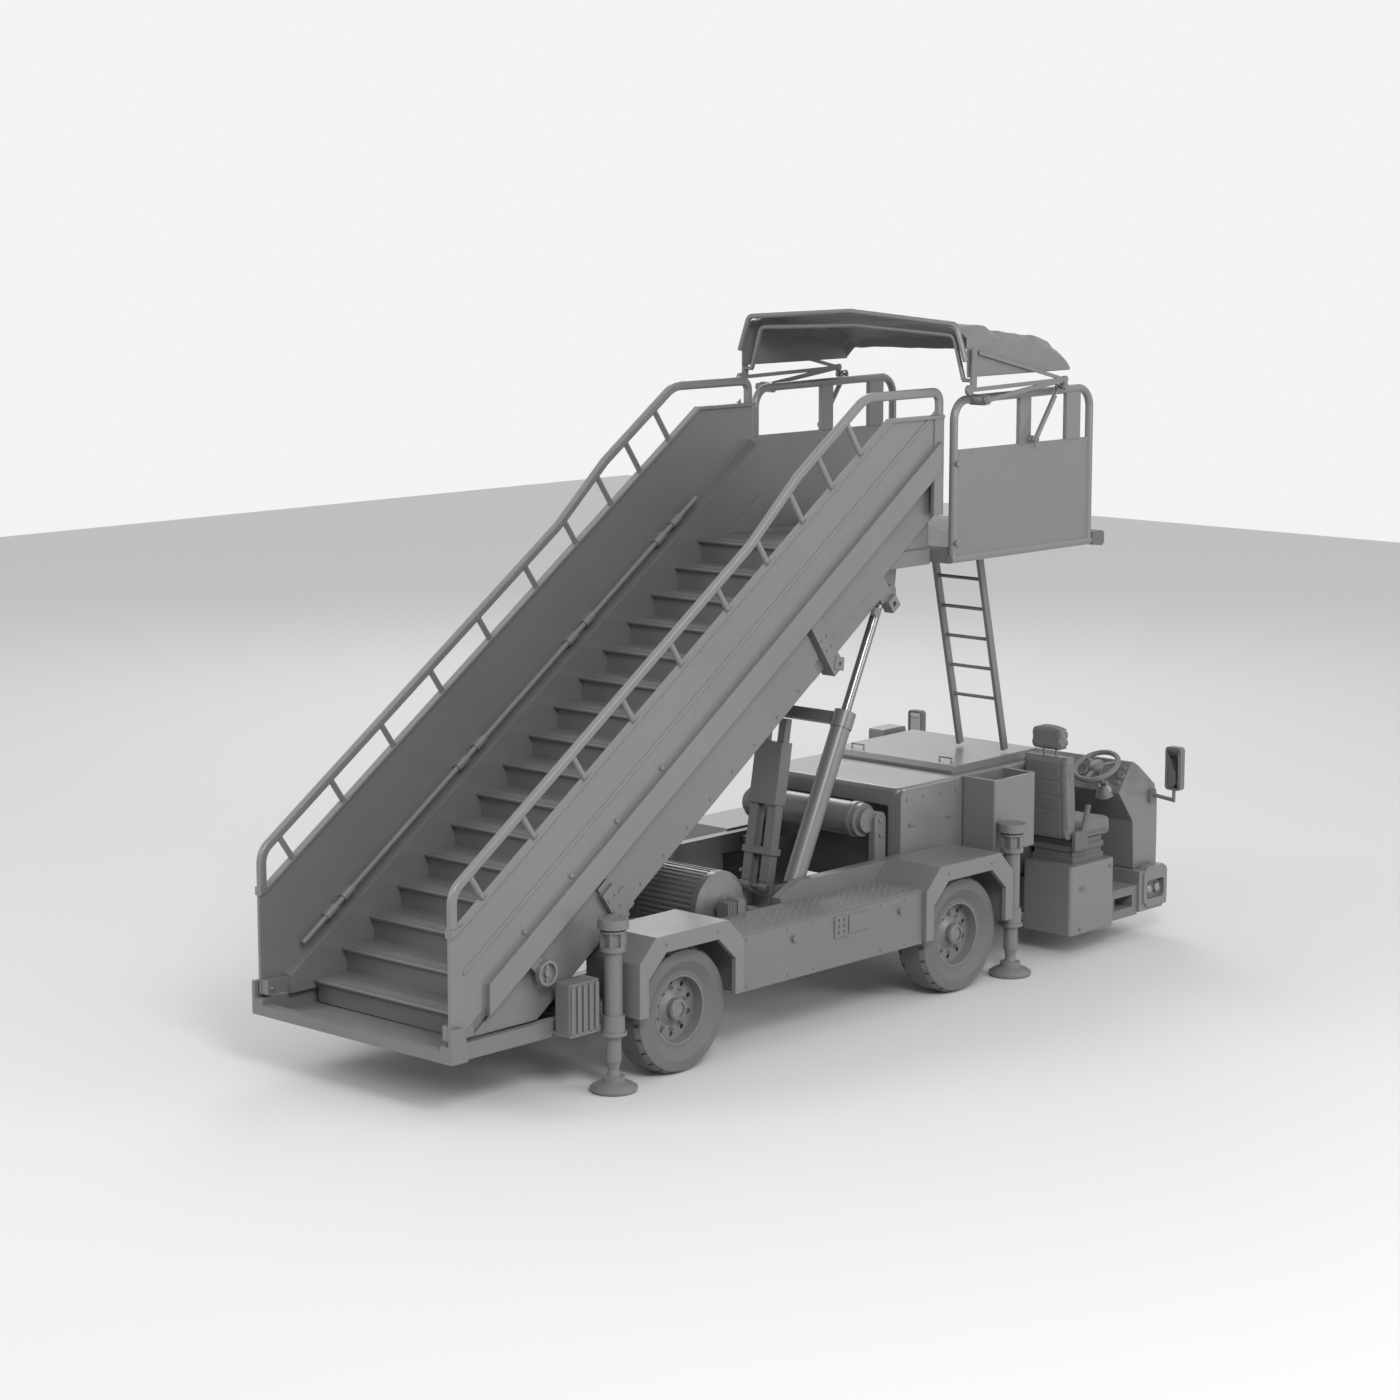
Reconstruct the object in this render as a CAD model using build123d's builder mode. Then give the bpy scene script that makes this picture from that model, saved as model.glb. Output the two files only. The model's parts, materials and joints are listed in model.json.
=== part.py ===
from build123d import *
from math import atan2, cos, radians, sin
import os

os.makedirs("parts", exist_ok=True)

# Self-propelled passenger stairs for aircraft. Millimetres, X forward to the driver's place,
# Y to the left, Z up. The origin is on the ground, midway along the machine.
# The driver's side is the right one, at negative Y.
RIGHT, LEFT = -1, 1
SIDES = (RIGHT, LEFT)

# Clearances
fit_gap = 0.3
moving_gap = 10
bearing_gap = 1
running_gap = 0.9

# Running gear
half_length = 3920
wheelbase = 3100
rear_overhang = 1980
rear_axle_x = rear_overhang - half_length
front_axle_x = rear_axle_x + wheelbase
track_half = 1100
tyre_radius = 450
tyre_width = 283
tread_lugs = 48
lug_height = 20
lug_gap = 26
lug_reach = 62
rim_seat_radius = 247
rim_half_width = 104
rim_wall = 12
disc_offset = 20
disc_thickness = 14
hub_radius = 78
hub_out = 92
hub_hole_depth = 25
hand_holes = 10
hand_hole_circle = 188
spindle_radius = 35
brake_plate_radius = 150

# Steering
kingpin_y = 960
kingpin_radius = 24
kingpin_half = 115
ear_radius = 42
knuckle_radius = 55
knuckle_half = 85
axle_beam_half = 50
axle_tube_radius = 60

# Chassis rails, jack outriggers and side sills
rail_y = 440
rail_width = 80
rail_low = 510
rail_high = 620
rail_rear_x = rear_axle_x - 850
rail_front_x = front_axle_x + 1800
bulkhead_plate = 40
bulkhead_top = 920
outrigger_low = 540
outrigger_high = 620
outrigger_width = 120
sill_inner = 735
sill_top = 1030
sill_rear_x = rear_axle_x + 1500
sill_bevel = 200
sill_relief_x = front_axle_x - 520
sill_relief_top = 880

# Fenders and side lockers
fender_face = 1330
fender_inner = 820
fender_plate = 40
fender_shell = 20
fender_half = 530
fender_crown_half = 365
fender_low = 500
fender_shoulder = 880
fender_top = 1045
arch_half = 440
arch_crown_half = 265
arch_shoulder = 760
arch_top = 925
locker_face = 1290
locker_low = 485
locker_top = 885
socket_x = rear_axle_x + 1550
deck_plate = 15
valve_x = rear_axle_x + 930
valve_inner = 690
valve_top = 985

# Jacks at the four corners
jack_y = 1180
jack_rear_x = rear_axle_x - 635
jack_front_x = front_axle_x + 705
jack_tube_radius = 65
jack_leg_radius = 55
jack_bore_radius = jack_leg_radius + running_gap
jack_cap_radius = 108
jack_collar_radius = 90
jack_top = 1205
jack_tube_low = 395
jack_leg_top = 725
jack_foot_radius = 165

# Entry platform at the foot of the flight
entry_half = 970
entry_low = 414
entry_top = 530
entry_floor = 430
entry_member = 70
entry_front_x = rear_axle_x - 540
battery_shelf = 459
battery_top = 800
battery_inner = 1000
battery_outer = 1145

# Flight of steps. Offsets are square to the line through the step nosings
step_count = 16
step_rise = 184.5
step_going = 264.5
first_nosing_x = rear_axle_x - 1561
first_nosing_z = 618
nosing_depth = 40
nosing_overhang = 45
tread_sheet = 12
stringer_inner = 845
stringer_web = 55
stringer_outer = 925
stringer_low = -220
stringer_groove_low = 30
stringer_groove_high = 140
stringer_top = 160
sleeve_low = -315
sleeve_end = 3930
upper_beam_low = -345
upper_beam_end = 4740
guide_start = 3962
guide_length = 128
guide_out = 965
guide_bar_low = -300
guide_shoe_low = -412
guide_eye = -368
guide_eye_radius = 14
cradle_start = 1245
cradle_length = 125
upper_eye_start = 4770
upper_eye_end = 4870
upper_eye_radius = 20
upper_boss_radius = 36
roller_along = 529
roller_offset = -49
roller_radius = 88
flight_foot_z = 545
panel_low = 140
panel_high = 750
panel_outer = 970
panel_sheet = 22
panel_top_z = 4390
panel_post = 110
flange_half = 30
side_bar_low = 90
side_bar_high = 270
side_bar_out = 1012
side_bar_rear_x = rear_axle_x - 1630
landing_front_x = rear_axle_x + 3150
landing_beam_low = 3255
flight_pivot_x = rear_axle_x - 1905
flight_pivot_z = 600
pivot_radius = 15
handrail_width = 50
handrail_depth = 70
handrail_low = 970
handrail_high = 1050
handrail_top = 4560
support_radius = 22
inner_rail_y = 905
inner_rail_offset = 225
inner_rail_radius = 21
bead_low = 455
bead_high = 485
knob_spacing = 543

# Platform
hinge_x = rear_axle_x + 3178
hinge_z = 3285
hinge_eye = 28
platform_rear_x = rear_axle_x + 3225
platform_front_x = rear_axle_x + 4980
platform_floor_z = first_nosing_z + (step_count - 1) * step_rise
platform_deck = 25
platform_low = 3260
side_frame_y = 1000
frame_tube = 32
side_frame_top = 4490
side_frame_bend = 150
side_panel_top = 4120
side_panel_sheet = 20
bumper_pad_length = 170
ladder_y = -340
ladder_half = 225
ladder_top_x = rear_axle_x + 4130
ladder_foot_x = rear_axle_x + 4498
ladder_foot_z = 1622

# Canopy over the platform and the struts that lift its front
canopy_rear_x = rear_axle_x + 3235
canopy_shell = 18
canopy_low = 4670
hoop_x = canopy_rear_x + 42
canopy_arm_y = 1145
arm_plate = 22
canopy_side = canopy_arm_y - arm_plate / 2 - fit_gap
clamp_x = rear_axle_x + 3460
clamp_z = side_frame_top
strut_top_x = rear_axle_x + 4440
strut_top_z = 4545
strut_foot_x = rear_axle_x + 4150
strut_foot_z = 4150
strut_y = 1085
strut_rod_radius = 10

# Lift cylinders and props
cylinder_y = 650
cylinder_foot_x = rear_axle_x + 1800
cylinder_foot_z = 900
cylinder_eye_x = rear_axle_x + 2845
cylinder_eye_z = 3065
barrel_radius = 76
barrel_length = 1430
lift_rod_radius = 38
lift_rod_inside = 600
crossbar_at = 1370
lift_pin_radius = 25
cylinder_pin_radius = 30
lift_pin_play = 22
prop_foot_x = rear_axle_x + 2160
prop_foot_z = 800
prop_y = 90
prop_leg = 84
prop_pin_radius = 20
prop_sleeve = 120
prop_wall = 8
prop_length = 620

# Engine cover, bin and cab
hood_rear_x = front_axle_x - 130
hood_front_x = front_axle_x + 1800
hood_half = 730
hood_low = 950
hood_top = 1530
hood_lip = 140
door_proud = 18
hood_cavity_front_x = front_axle_x + 470
hood_skirt_half = 700
lid_rear_x = front_axle_x + 630
lid_half = 640
lid_top = 1600
bin_rear_x = front_axle_x + 640
bin_length = 520
bin_face = 1060
bin_wall = 25
bin_depth = 420
stack_x = front_axle_x + 1600
stack_top = 1620
pedestal_rear_x = front_axle_x + 1400
pedestal_front_x = front_axle_x + 1980
pedestal_inner = 765
pedestal_outer = 1245
pedestal_low = 190
pedestal_top = 750
cab_floor_top = 450
cab_floor_low = 205
cab_half = 1200
bumper_rear_x = front_axle_x + 2370
bumper_low = 225
bumper_top = 560
bumper_half = 1220
lamp_frame = 14
console_half = 1120
seat_y = -968
seat_width = 440
wheel_centre_x = front_axle_x + 2100
wheel_centre_z = 1440
steering_ring_radius = 180
mirror_y = 1345
drum_x = rear_axle_x + 1100
drum_z = 905
drum_radius = 262
drum_right = -600
drum_left = 70
flutes = 40
tank_x = rear_axle_x + 2755
tank_z = 1300
tank_radius = 128
tank_half = 560

pitch = atan2(step_rise, step_going)


def nosing_z(x):
    """Height of the line through the step nosings at x."""
    return first_nosing_z + (x - first_nosing_x) * step_rise / step_going


def above(x, offset):
    """Point at x on the line a square distance above the nosings."""
    return (x, nosing_z(x) + offset / cos(pitch))


def meets(z, offset):
    """Point where the line a square distance above the nosings reaches height z."""
    return (first_nosing_x + (z - offset / cos(pitch) - first_nosing_z) * step_going / step_rise, z)


def along(distance, offset):
    """Point a distance up the line of the nosings from the first one, and a square distance above it."""
    return (first_nosing_x + distance * cos(pitch) - offset * sin(pitch),
            first_nosing_z + distance * sin(pitch) + offset * cos(pitch))


def strip(start, end, low, high):
    """Four corners of a strip that lies along the line of the nosings."""
    return [along(start, low), along(end, low), along(end, high), along(start, high)]


def block(x0, x1, y0, y1, z0, z1, mode=Mode.ADD):
    """Box between two corners."""
    with Locations(((x0 + x1) / 2, (y0 + y1) / 2, (z0 + z1) / 2)):
        Box(abs(x1 - x0), abs(y1 - y0), abs(z1 - z0), mode=mode)


def slab(outline, y0, y1, mode=Mode.ADD):
    """Outline in X and Z, carried across from y0 to y1."""
    low, high = min(y0, y1), max(y0, y1)
    with BuildSketch(Plane.XZ.offset(-high)) as face:
        with BuildLine():
            Polyline(*outline, close=True)
        make_face()
    extrude(face.sketch, amount=high - low, mode=mode)


def rounded(x0, x1, y0, y1, z0, z1, radius, facing="Y", mode=Mode.ADD):
    """Box whose four corners are rounded as seen along the named axis."""
    middle = Vector((x0 + x1) / 2, (y0 + y1) / 2, (z0 + z1) / 2)
    size = Vector(abs(x1 - x0), abs(y1 - y0), abs(z1 - z0))
    if facing == "Y":
        plane, wide, high, deep = Plane(origin=middle, x_dir=(1, 0, 0), z_dir=(0, -1, 0)), size.X, size.Z, size.Y
    elif facing == "X":
        plane, wide, high, deep = Plane(origin=middle, x_dir=(0, 1, 0), z_dir=(1, 0, 0)), size.Y, size.Z, size.X
    else:
        plane, wide, high, deep = Plane(origin=middle), size.X, size.Y, size.Z
    with BuildSketch(plane) as face:
        RectangleRounded(wide, high, radius)
    extrude(face.sketch, amount=deep / 2, both=True, mode=mode)


def bar(start, end, radius, mode=Mode.ADD):
    """Round bar from start to end."""
    along = Vector(*end) - Vector(*start)
    with Locations(Plane(origin=start, z_dir=along)):
        Cylinder(radius, along.length, align=(Align.CENTER, Align.CENTER, Align.MIN), mode=mode)


def beam(start, end, width, depth, mode=Mode.ADD):
    """Square-edged bar from start to end, its width along Y."""
    along = Vector(*end) - Vector(*start)
    with Locations(Plane(origin=start, x_dir=(0, 1, 0), z_dir=along)):
        Box(width, depth, along.length, align=(Align.CENTER, Align.CENTER, Align.MIN), mode=mode)


def bent_tube(points, bends, radius=None, width=None, depth=None, corner=12, mode=Mode.ADD):
    """Tube along straight runs joined by bends, round or flat-sided."""
    with BuildLine() as route:
        FilletPolyline(*points, radius=bends)
    across = (0, 1, 0) if abs((route.line % 0).Y) < 0.9 else (1, 0, 0)
    with BuildSketch(Plane(origin=route.line @ 0, x_dir=across, z_dir=route.line % 0)) as section:
        if radius:
            Circle(radius)
        else:
            RectangleRounded(width, depth, corner)
    sweep(section.sketch, path=route.line, mode=mode)


def turned(profile, centre, axis_dir):
    """Profile of radius and distance along the axis, turned about that axis."""
    across = (1, 0, 0) if axis_dir[2] == 0 else (0, 1, 0)
    plane = Plane(origin=centre, x_dir=across, z_dir=Vector(*across).cross(Vector(*axis_dir)))
    with BuildSketch(plane) as section:
        with BuildLine():
            Polyline(*profile, close=True)
        make_face()
    revolve(section.sketch, axis=Axis(centre, axis_dir))


# Chassis: rails, cross members, prop lugs and the front bulkhead
with BuildPart() as chassis_frame:
    for side in SIDES:
        block(rail_rear_x, rail_front_x, side * (rail_y - rail_width / 2), side * (rail_y + rail_width / 2),
              rail_low, rail_high)
    for cross_x in (rail_rear_x + 50, rear_axle_x + 700, rear_axle_x + 1500, prop_foot_x, front_axle_x - 500,
                    front_axle_x + 450, rail_front_x - 50):
        block(cross_x - 50, cross_x + 50, -rail_y, rail_y, rail_low, rail_high)
    block(rail_front_x, rail_front_x + bulkhead_plate, -pedestal_inner + fit_gap, pedestal_inner - fit_gap,
          cab_floor_low, bulkhead_top)
    for y in (-prop_y - prop_leg / 2 - moving_gap, prop_y + prop_leg / 2 + moving_gap):
        outward = 20 if y > 0 else -20
        slab([(prop_foot_x - 50, rail_high - 5), (prop_foot_x + 50, rail_high - 5),
              (prop_foot_x + 30, prop_foot_z + 30), (prop_foot_x - 30, prop_foot_z + 30)], y, y + outward)
    bar((prop_foot_x, -prop_y - prop_leg / 2 - moving_gap - 10, prop_foot_z),
        (prop_foot_x, prop_y + prop_leg / 2 + moving_gap + 10, prop_foot_z), prop_pin_radius)
chassis_frame.part.label = "chassis_frame"
export_step(chassis_frame.part, "parts/chassis_frame.step")

# Outriggers that carry the jacks
rail_out = rail_y + rail_width / 2 + fit_gap
with BuildPart() as outriggers:
    for side in SIDES:
        for jack_x in (jack_rear_x, jack_front_x):
            block(jack_x - outrigger_width / 2, jack_x + outrigger_width / 2, side * rail_out,
                  side * (jack_y - jack_tube_radius - fit_gap), outrigger_low, outrigger_high)
outriggers.part.label = "outriggers"
export_step(outriggers.part, "parts/outriggers.step")

# Side sills on short arms, with the saddles of the lift cylinders
with BuildPart() as side_sills:
    for side in SIDES:
        # Behind the front wheel the sill is cut back, to let the steered tyre swing in
        slab([(sill_rear_x, rail_low + 40), (sill_relief_x, rail_low + 40), (sill_relief_x, sill_relief_top),
              (hood_rear_x - fit_gap, sill_relief_top), (hood_rear_x - fit_gap, sill_top),
              (sill_rear_x + sill_bevel, sill_top), (sill_rear_x, sill_top - sill_bevel / 2)],
             side * sill_inner, side * fender_inner)
        for cross_x in (sill_rear_x + 60, cylinder_foot_x, sill_relief_x - 60):
            block(cross_x - 45, cross_x + 45, side * rail_out, side * (sill_inner + 5), rail_low + 40, rail_high)
        inner_lug = side * (cylinder_y - 80)
        slab([(cylinder_foot_x - 130, rail_high - 5), (cylinder_foot_x + 130, rail_high - 5),
              (cylinder_foot_x + 45, cylinder_foot_z + 45), (cylinder_foot_x - 45, cylinder_foot_z + 45)],
             inner_lug - side * 25, inner_lug)
        block(cylinder_foot_x - 130, cylinder_foot_x + 130, side * rail_out, inner_lug, rail_high - 30, rail_high)
        bar((cylinder_foot_x, inner_lug - side * 10, cylinder_foot_z),
            (cylinder_foot_x, side * (sill_inner + 5), cylinder_foot_z), cylinder_pin_radius)
side_sills.part.label = "side_sills"
export_step(side_sills.part, "parts/side_sills.step")

# Entry platform: frame, floor plate, hinge cheeks with pins, shelves for the battery boxes
with BuildPart() as entry_base:
    block(-half_length, -half_length + entry_member, -entry_half, entry_half, entry_low, entry_top - 40)
    block(entry_front_x - 90, entry_front_x, -entry_half, entry_half, entry_low, rail_low - fit_gap)
    block(-half_length + 20, entry_front_x - 20, -entry_half + 20, entry_half - 20, entry_low, entry_floor)
    for side in SIDES:
        block(-half_length, entry_front_x, side * (entry_half - entry_member), side * entry_half,
              entry_low, entry_top)
        block(rail_rear_x, entry_front_x, side * (rail_y - 40), side * (entry_half - 30), entry_low,
              rail_low - fit_gap)
        cheek = side * (panel_outer + moving_gap)
        block(-half_length, flight_pivot_x + 75, side * (entry_half - 10), cheek + side * 30, entry_low, entry_top)
        slab([(-half_length, entry_top - 20), (flight_pivot_x + 70, entry_top - 20),
              (flight_pivot_x + 45, flight_pivot_z + 50), (-half_length, flight_pivot_z + 50)],
             cheek, cheek + side * 30)
        bar((flight_pivot_x, cheek + side * 10, flight_pivot_z),
            (flight_pivot_x, side * (stringer_inner + 55), flight_pivot_z), pivot_radius)
        block(jack_rear_x - 385, jack_rear_x - 95, side * (entry_half - 10), side * 1150, entry_low + 20,
              battery_shelf)
entry_base.part.label = "entry_base"
export_step(entry_base.part, "parts/entry_base.step")

# Axles: the front beam ends in yokes round the steering knuckles, the rear one in spindles
with BuildPart() as axle_beams:
    yoke_web = kingpin_y - knuckle_radius - 15
    ear = knuckle_half + 5
    block(front_axle_x - axle_beam_half, front_axle_x + axle_beam_half, -yoke_web, yoke_web,
          tyre_radius - 50, tyre_radius + 50)
    for side in SIDES:
        block(front_axle_x - 55, front_axle_x + 55, side * (yoke_web - 25), side * yoke_web,
              tyre_radius - kingpin_half, tyre_radius + kingpin_half)
        for z0, z1 in ((-kingpin_half, -ear), (ear, kingpin_half)):
            block(front_axle_x - ear_radius, front_axle_x + ear_radius, side * (yoke_web - 25), side * kingpin_y,
                  tyre_radius + z0, tyre_radius + z1)
            bar((front_axle_x, side * kingpin_y, tyre_radius + z0), (front_axle_x, side * kingpin_y, tyre_radius + z1),
                ear_radius)
        bar((front_axle_x, side * kingpin_y, tyre_radius - kingpin_half - 5),
            (front_axle_x, side * kingpin_y, tyre_radius + kingpin_half + 5),
            kingpin_radius + bearing_gap, mode=Mode.SUBTRACT)
        for axle_x in (front_axle_x, rear_axle_x):
            block(axle_x - 50, axle_x + 50, side * (rail_y - 35), side * (rail_y + 35),
                  tyre_radius + 20, rail_low - fit_gap)
        bar((rear_axle_x, side * (track_half - 140), tyre_radius),
            (rear_axle_x, side * (track_half - 122), tyre_radius), brake_plate_radius)
        bar((rear_axle_x, side * (track_half - 130), tyre_radius),
            (rear_axle_x, side * (track_half + hub_out - hub_hole_depth - 5), tyre_radius), spindle_radius)
    bar((rear_axle_x, -track_half + 130, tyre_radius), (rear_axle_x, track_half - 130, tyre_radius),
        axle_tube_radius)
    with Locations((rear_axle_x, 0, tyre_radius)):
        Sphere(150)
axle_beams.part.label = "axle_beams"
export_step(axle_beams.part, "parts/axle_beams.step")

# Fenders: an angular shell over each wheel, with an arch cut in its outer plate
outer_shape = [(-fender_half, fender_low), (-fender_half, fender_shoulder), (-fender_crown_half, fender_top),
               (fender_crown_half, fender_top), (fender_half, fender_shoulder), (fender_half, fender_low)]
inner_half = fender_half - fender_shell
inner_shape = [(-inner_half, fender_low - 1), (-inner_half, fender_shoulder - 10),
               (10 - fender_crown_half, fender_top - fender_shell),
               (fender_crown_half - 10, fender_top - fender_shell),
               (inner_half, fender_shoulder - 10), (inner_half, fender_low - 1)]
arch_shape = [(-arch_half, fender_low - 1), (-arch_half, arch_shoulder), (-arch_crown_half, arch_top),
              (arch_crown_half, arch_top), (arch_half, arch_shoulder), (arch_half, fender_low - 1)]
with BuildPart() as fenders:
    for axle_x in (rear_axle_x, front_axle_x):
        for side in SIDES:
            plate_in = side * (fender_face - fender_plate)
            slab([(axle_x + x, z) for x, z in outer_shape], side * fender_inner, side * fender_face)
            slab([(axle_x + x, z) for x, z in inner_shape], side * (fender_inner - 1), plate_in, mode=Mode.SUBTRACT)
            slab([(axle_x + x, z) for x, z in arch_shape], plate_in - side, side * (fender_face + 1),
                 mode=Mode.SUBTRACT)
fenders.part.label = "fenders"
export_step(fenders.part, "parts/fenders.step")

# Side lockers between the fenders, with a tread-plate deck on top
locker_rear_x = rear_axle_x + fender_half + fit_gap
locker_front_x = front_axle_x - fender_half - fit_gap
with BuildPart() as side_lockers:
    for side in SIDES:
        locker_inner = side * (fender_inner + fit_gap)
        block(locker_rear_x, locker_front_x, locker_inner, side * locker_face, locker_low, locker_top)
        block(locker_rear_x, locker_front_x, locker_inner, side * (locker_face - 12), locker_top,
              locker_top + deck_plate)
        # Socket panel with six sockets, and a blank panel beside it
        panel_out = locker_face + 10
        block(socket_x, socket_x + 140, side * (locker_face - 1), side * panel_out, 700, 860)
        block(socket_x + 160, socket_x + 390, side * (locker_face - 1), side * panel_out, 715, 845)
        for column in range(2):
            for row in range(3):
                socket = Vector(socket_x + 40 + 60 * column, 0, 735 + 45 * row)
                bar(socket + Vector(0, side * (panel_out - 8), 0), socket + Vector(0, side * (panel_out + 1), 0), 14,
                    mode=Mode.SUBTRACT)
        for knob_x in (rear_axle_x + 1100, rear_axle_x + 2300):
            bar((knob_x, side * (locker_face - 5), 780), (knob_x, side * (locker_face + 25), 780), 24)
    # Valve box and its round-backed cover on a shelf inside the right locker
    block(valve_x, valve_x + 190, -fender_inner - 5, -valve_inner, locker_top - 45, locker_top - 33)
    for fin in range(6):
        block(valve_x + 5 + 16 * fin, valve_x + 15 + 16 * fin, -fender_inner + 10, -valve_inner - 10,
              locker_top - 34, valve_top)
    block(valve_x + 10, valve_x + 100, -fender_inner + 18, -valve_inner - 18, locker_top - 34, valve_top - 8)
    rounded(valve_x + 105, valve_x + 185, -fender_inner + 2, -valve_inner - 4, locker_top - 34, valve_top + 15, 30)
side_lockers.part.label = "side_lockers"
export_step(side_lockers.part, "parts/side_lockers.step")

# Jack housings: tube, windowed collar, cap and lower collar
jack_sites = (("rear", jack_rear_x), ("front", jack_front_x))
with BuildPart() as jack_housings:
    for end, jack_x in jack_sites:
        for side in SIDES:
            y = side * jack_y
            for z0, z1, radius in ((jack_tube_low, jack_top - 20, jack_tube_radius),
                                   (jack_top - 65, jack_top, jack_cap_radius),
                                   (jack_top - 95, jack_top - 80, jack_collar_radius),
                                   (jack_top - 225, jack_top - 190, jack_collar_radius),
                                   (jack_tube_low, jack_tube_low + 25, jack_collar_radius + 4),
                                   (jack_tube_low, jack_tube_low + 140, jack_collar_radius - 10)):
                bar((jack_x, y, z0), (jack_x, y, z1), radius)
            for window in range(6):
                turn = radians(60 * window + 30)
                post_x, post_y = jack_x + 74 * cos(turn), y + 74 * sin(turn)
                block(post_x - 14, post_x + 14, post_y - 14, post_y + 14, jack_top - 200, jack_top - 85)
            bar((jack_x, y, jack_tube_low - 1), (jack_x, y, jack_top - 90), jack_bore_radius, mode=Mode.SUBTRACT)
jack_housings.part.label = "jack_housings"
export_step(jack_housings.part, "parts/jack_housings.step")

# Jack legs: an inner tube, a waist, a ring and a domed foot on the ground
leg_profile = [(0, 0), (jack_foot_radius - 12, 0), (jack_foot_radius, 14), (jack_foot_radius, 34),
               (jack_foot_radius - 30, 54), (78, 78), (78, 108), (46, 116), (40, 150), (46, 190),
               (jack_leg_radius, 215), (jack_leg_radius, jack_leg_top), (0, jack_leg_top)]
for end, jack_x in jack_sites:
    for side, side_name in ((RIGHT, "right"), (LEFT, "left")):
        with BuildPart() as jack_leg:
            turned(leg_profile, (jack_x, side * jack_y, 0), (0, 0, 1))
        jack_leg.part.label = f"jack_leg_{end}_{side_name}"
        export_step(jack_leg.part, f"parts/jack_leg_{end}_{side_name}.step")

# Steering knuckles: kingpin, body, brake plate and spindle
for side, side_name in ((RIGHT, "right"), (LEFT, "left")):
    with BuildPart() as knuckle:
        pin_y = side * kingpin_y
        bar((front_axle_x, pin_y, tyre_radius - kingpin_half - 12), (front_axle_x, pin_y, tyre_radius + kingpin_half + 12),
            kingpin_radius)
        bar((front_axle_x, pin_y, tyre_radius - knuckle_half), (front_axle_x, pin_y, tyre_radius + knuckle_half),
            knuckle_radius)
        bar((front_axle_x, pin_y, tyre_radius),
            (front_axle_x, side * (track_half + hub_out - hub_hole_depth - 5), tyre_radius), spindle_radius)
        bar((front_axle_x, side * (kingpin_y + 52), tyre_radius),
            (front_axle_x, side * (kingpin_y + 68), tyre_radius), brake_plate_radius)
    knuckle.part.label = f"knuckle_{side_name}"
    export_step(knuckle.part, f"parts/knuckle_{side_name}.step")

# Wheels: a deep-dish disc with hand holes, and a tyre. Profiles are radius, distance outward
half_tyre = tyre_width / 2
tyre_profile = [(rim_seat_radius + 30, -rim_half_width + 2), (tyre_radius - 100, -half_tyre),
                (tyre_radius - 22, -half_tyre + 12), (tyre_radius, -92), (tyre_radius, 92),
                (tyre_radius - 22, half_tyre - 12), (tyre_radius - 100, half_tyre),
                (rim_seat_radius + 30, rim_half_width - 2)]
barrel_in = rim_seat_radius - rim_wall
disc_back = disc_offset - disc_thickness
hub_bore = spindle_radius + bearing_gap
rim_profile = [(rim_seat_radius, -rim_half_width), (rim_seat_radius, rim_half_width), (barrel_in, rim_half_width),
               (barrel_in - 4, disc_offset), (hub_radius + 45, disc_offset), (hub_radius, disc_offset + 28),
               (hub_radius, hub_out), (0, hub_out), (0, hub_out - hub_hole_depth),
               (hub_bore, hub_out - hub_hole_depth), (hub_bore, -15), (hub_radius + 20, -15),
               (hub_radius + 45, disc_back), (barrel_in - 4, disc_back), (barrel_in, -rim_half_width)]
wheel_sites = (("front_right", front_axle_x, RIGHT), ("front_left", front_axle_x, LEFT),
               ("rear_right", rear_axle_x, RIGHT), ("rear_left", rear_axle_x, LEFT))
for wheel_name, axle_x, side in wheel_sites:
    centre = (axle_x, side * track_half, tyre_radius)
    with BuildPart() as rim:
        turned(rim_profile, centre, (0, side, 0))
        with Locations(Plane(origin=(axle_x, side * (track_half + disc_offset - 5), tyre_radius), z_dir=(0, side, 0))):
            with PolarLocations(hand_hole_circle, hand_holes):
                Cylinder(19, 60, mode=Mode.SUBTRACT)
    rim.part.label = f"rim_{wheel_name}"
    export_step(rim.part, f"parts/rim_{wheel_name}.step")

    # Bands of the tyre run between rings with one flat per tread lug; every second lug is cut back at the shoulder
    rings = []
    for radius, out in tyre_profile:
        ring_plane = Plane(origin=(axle_x, side * (track_half + out), tyre_radius), x_dir=(0, 0, -1), z_dir=(0, side, 0))
        with BuildSketch(ring_plane) as ring:
            RegularPolygon(radius, tread_lugs)
        rings.append(ring.sketch.faces()[0])
    with BuildPart() as tyre:
        loft(rings, ruled=True)
        with Locations(Plane(origin=centre, z_dir=(0, side, 0))):
            Cylinder(rim_seat_radius + bearing_gap, tyre_width, mode=Mode.SUBTRACT)
        lug_turn = 360 / tread_lugs
        notches = []
        for out, first in ((half_tyre, 0.5), (-half_tyre, 1.5)):
            face = Plane(origin=(axle_x, side * (track_half + out), tyre_radius), x_dir=(0, 0, -1), z_dir=(0, side, 0))
            for lug in range(0, tread_lugs, 2):
                notches.append(face.location * Rot(0, 0, lug_turn * (lug + first)) * Pos(tyre_radius, 0, 0))
        with Locations(*notches):
            Box(2 * lug_height, lug_gap, 2 * lug_reach, mode=Mode.SUBTRACT)
    tyre.part.label = f"tyre_{wheel_name}"
    export_step(tyre.part, f"parts/tyre_{wheel_name}.step")

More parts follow.
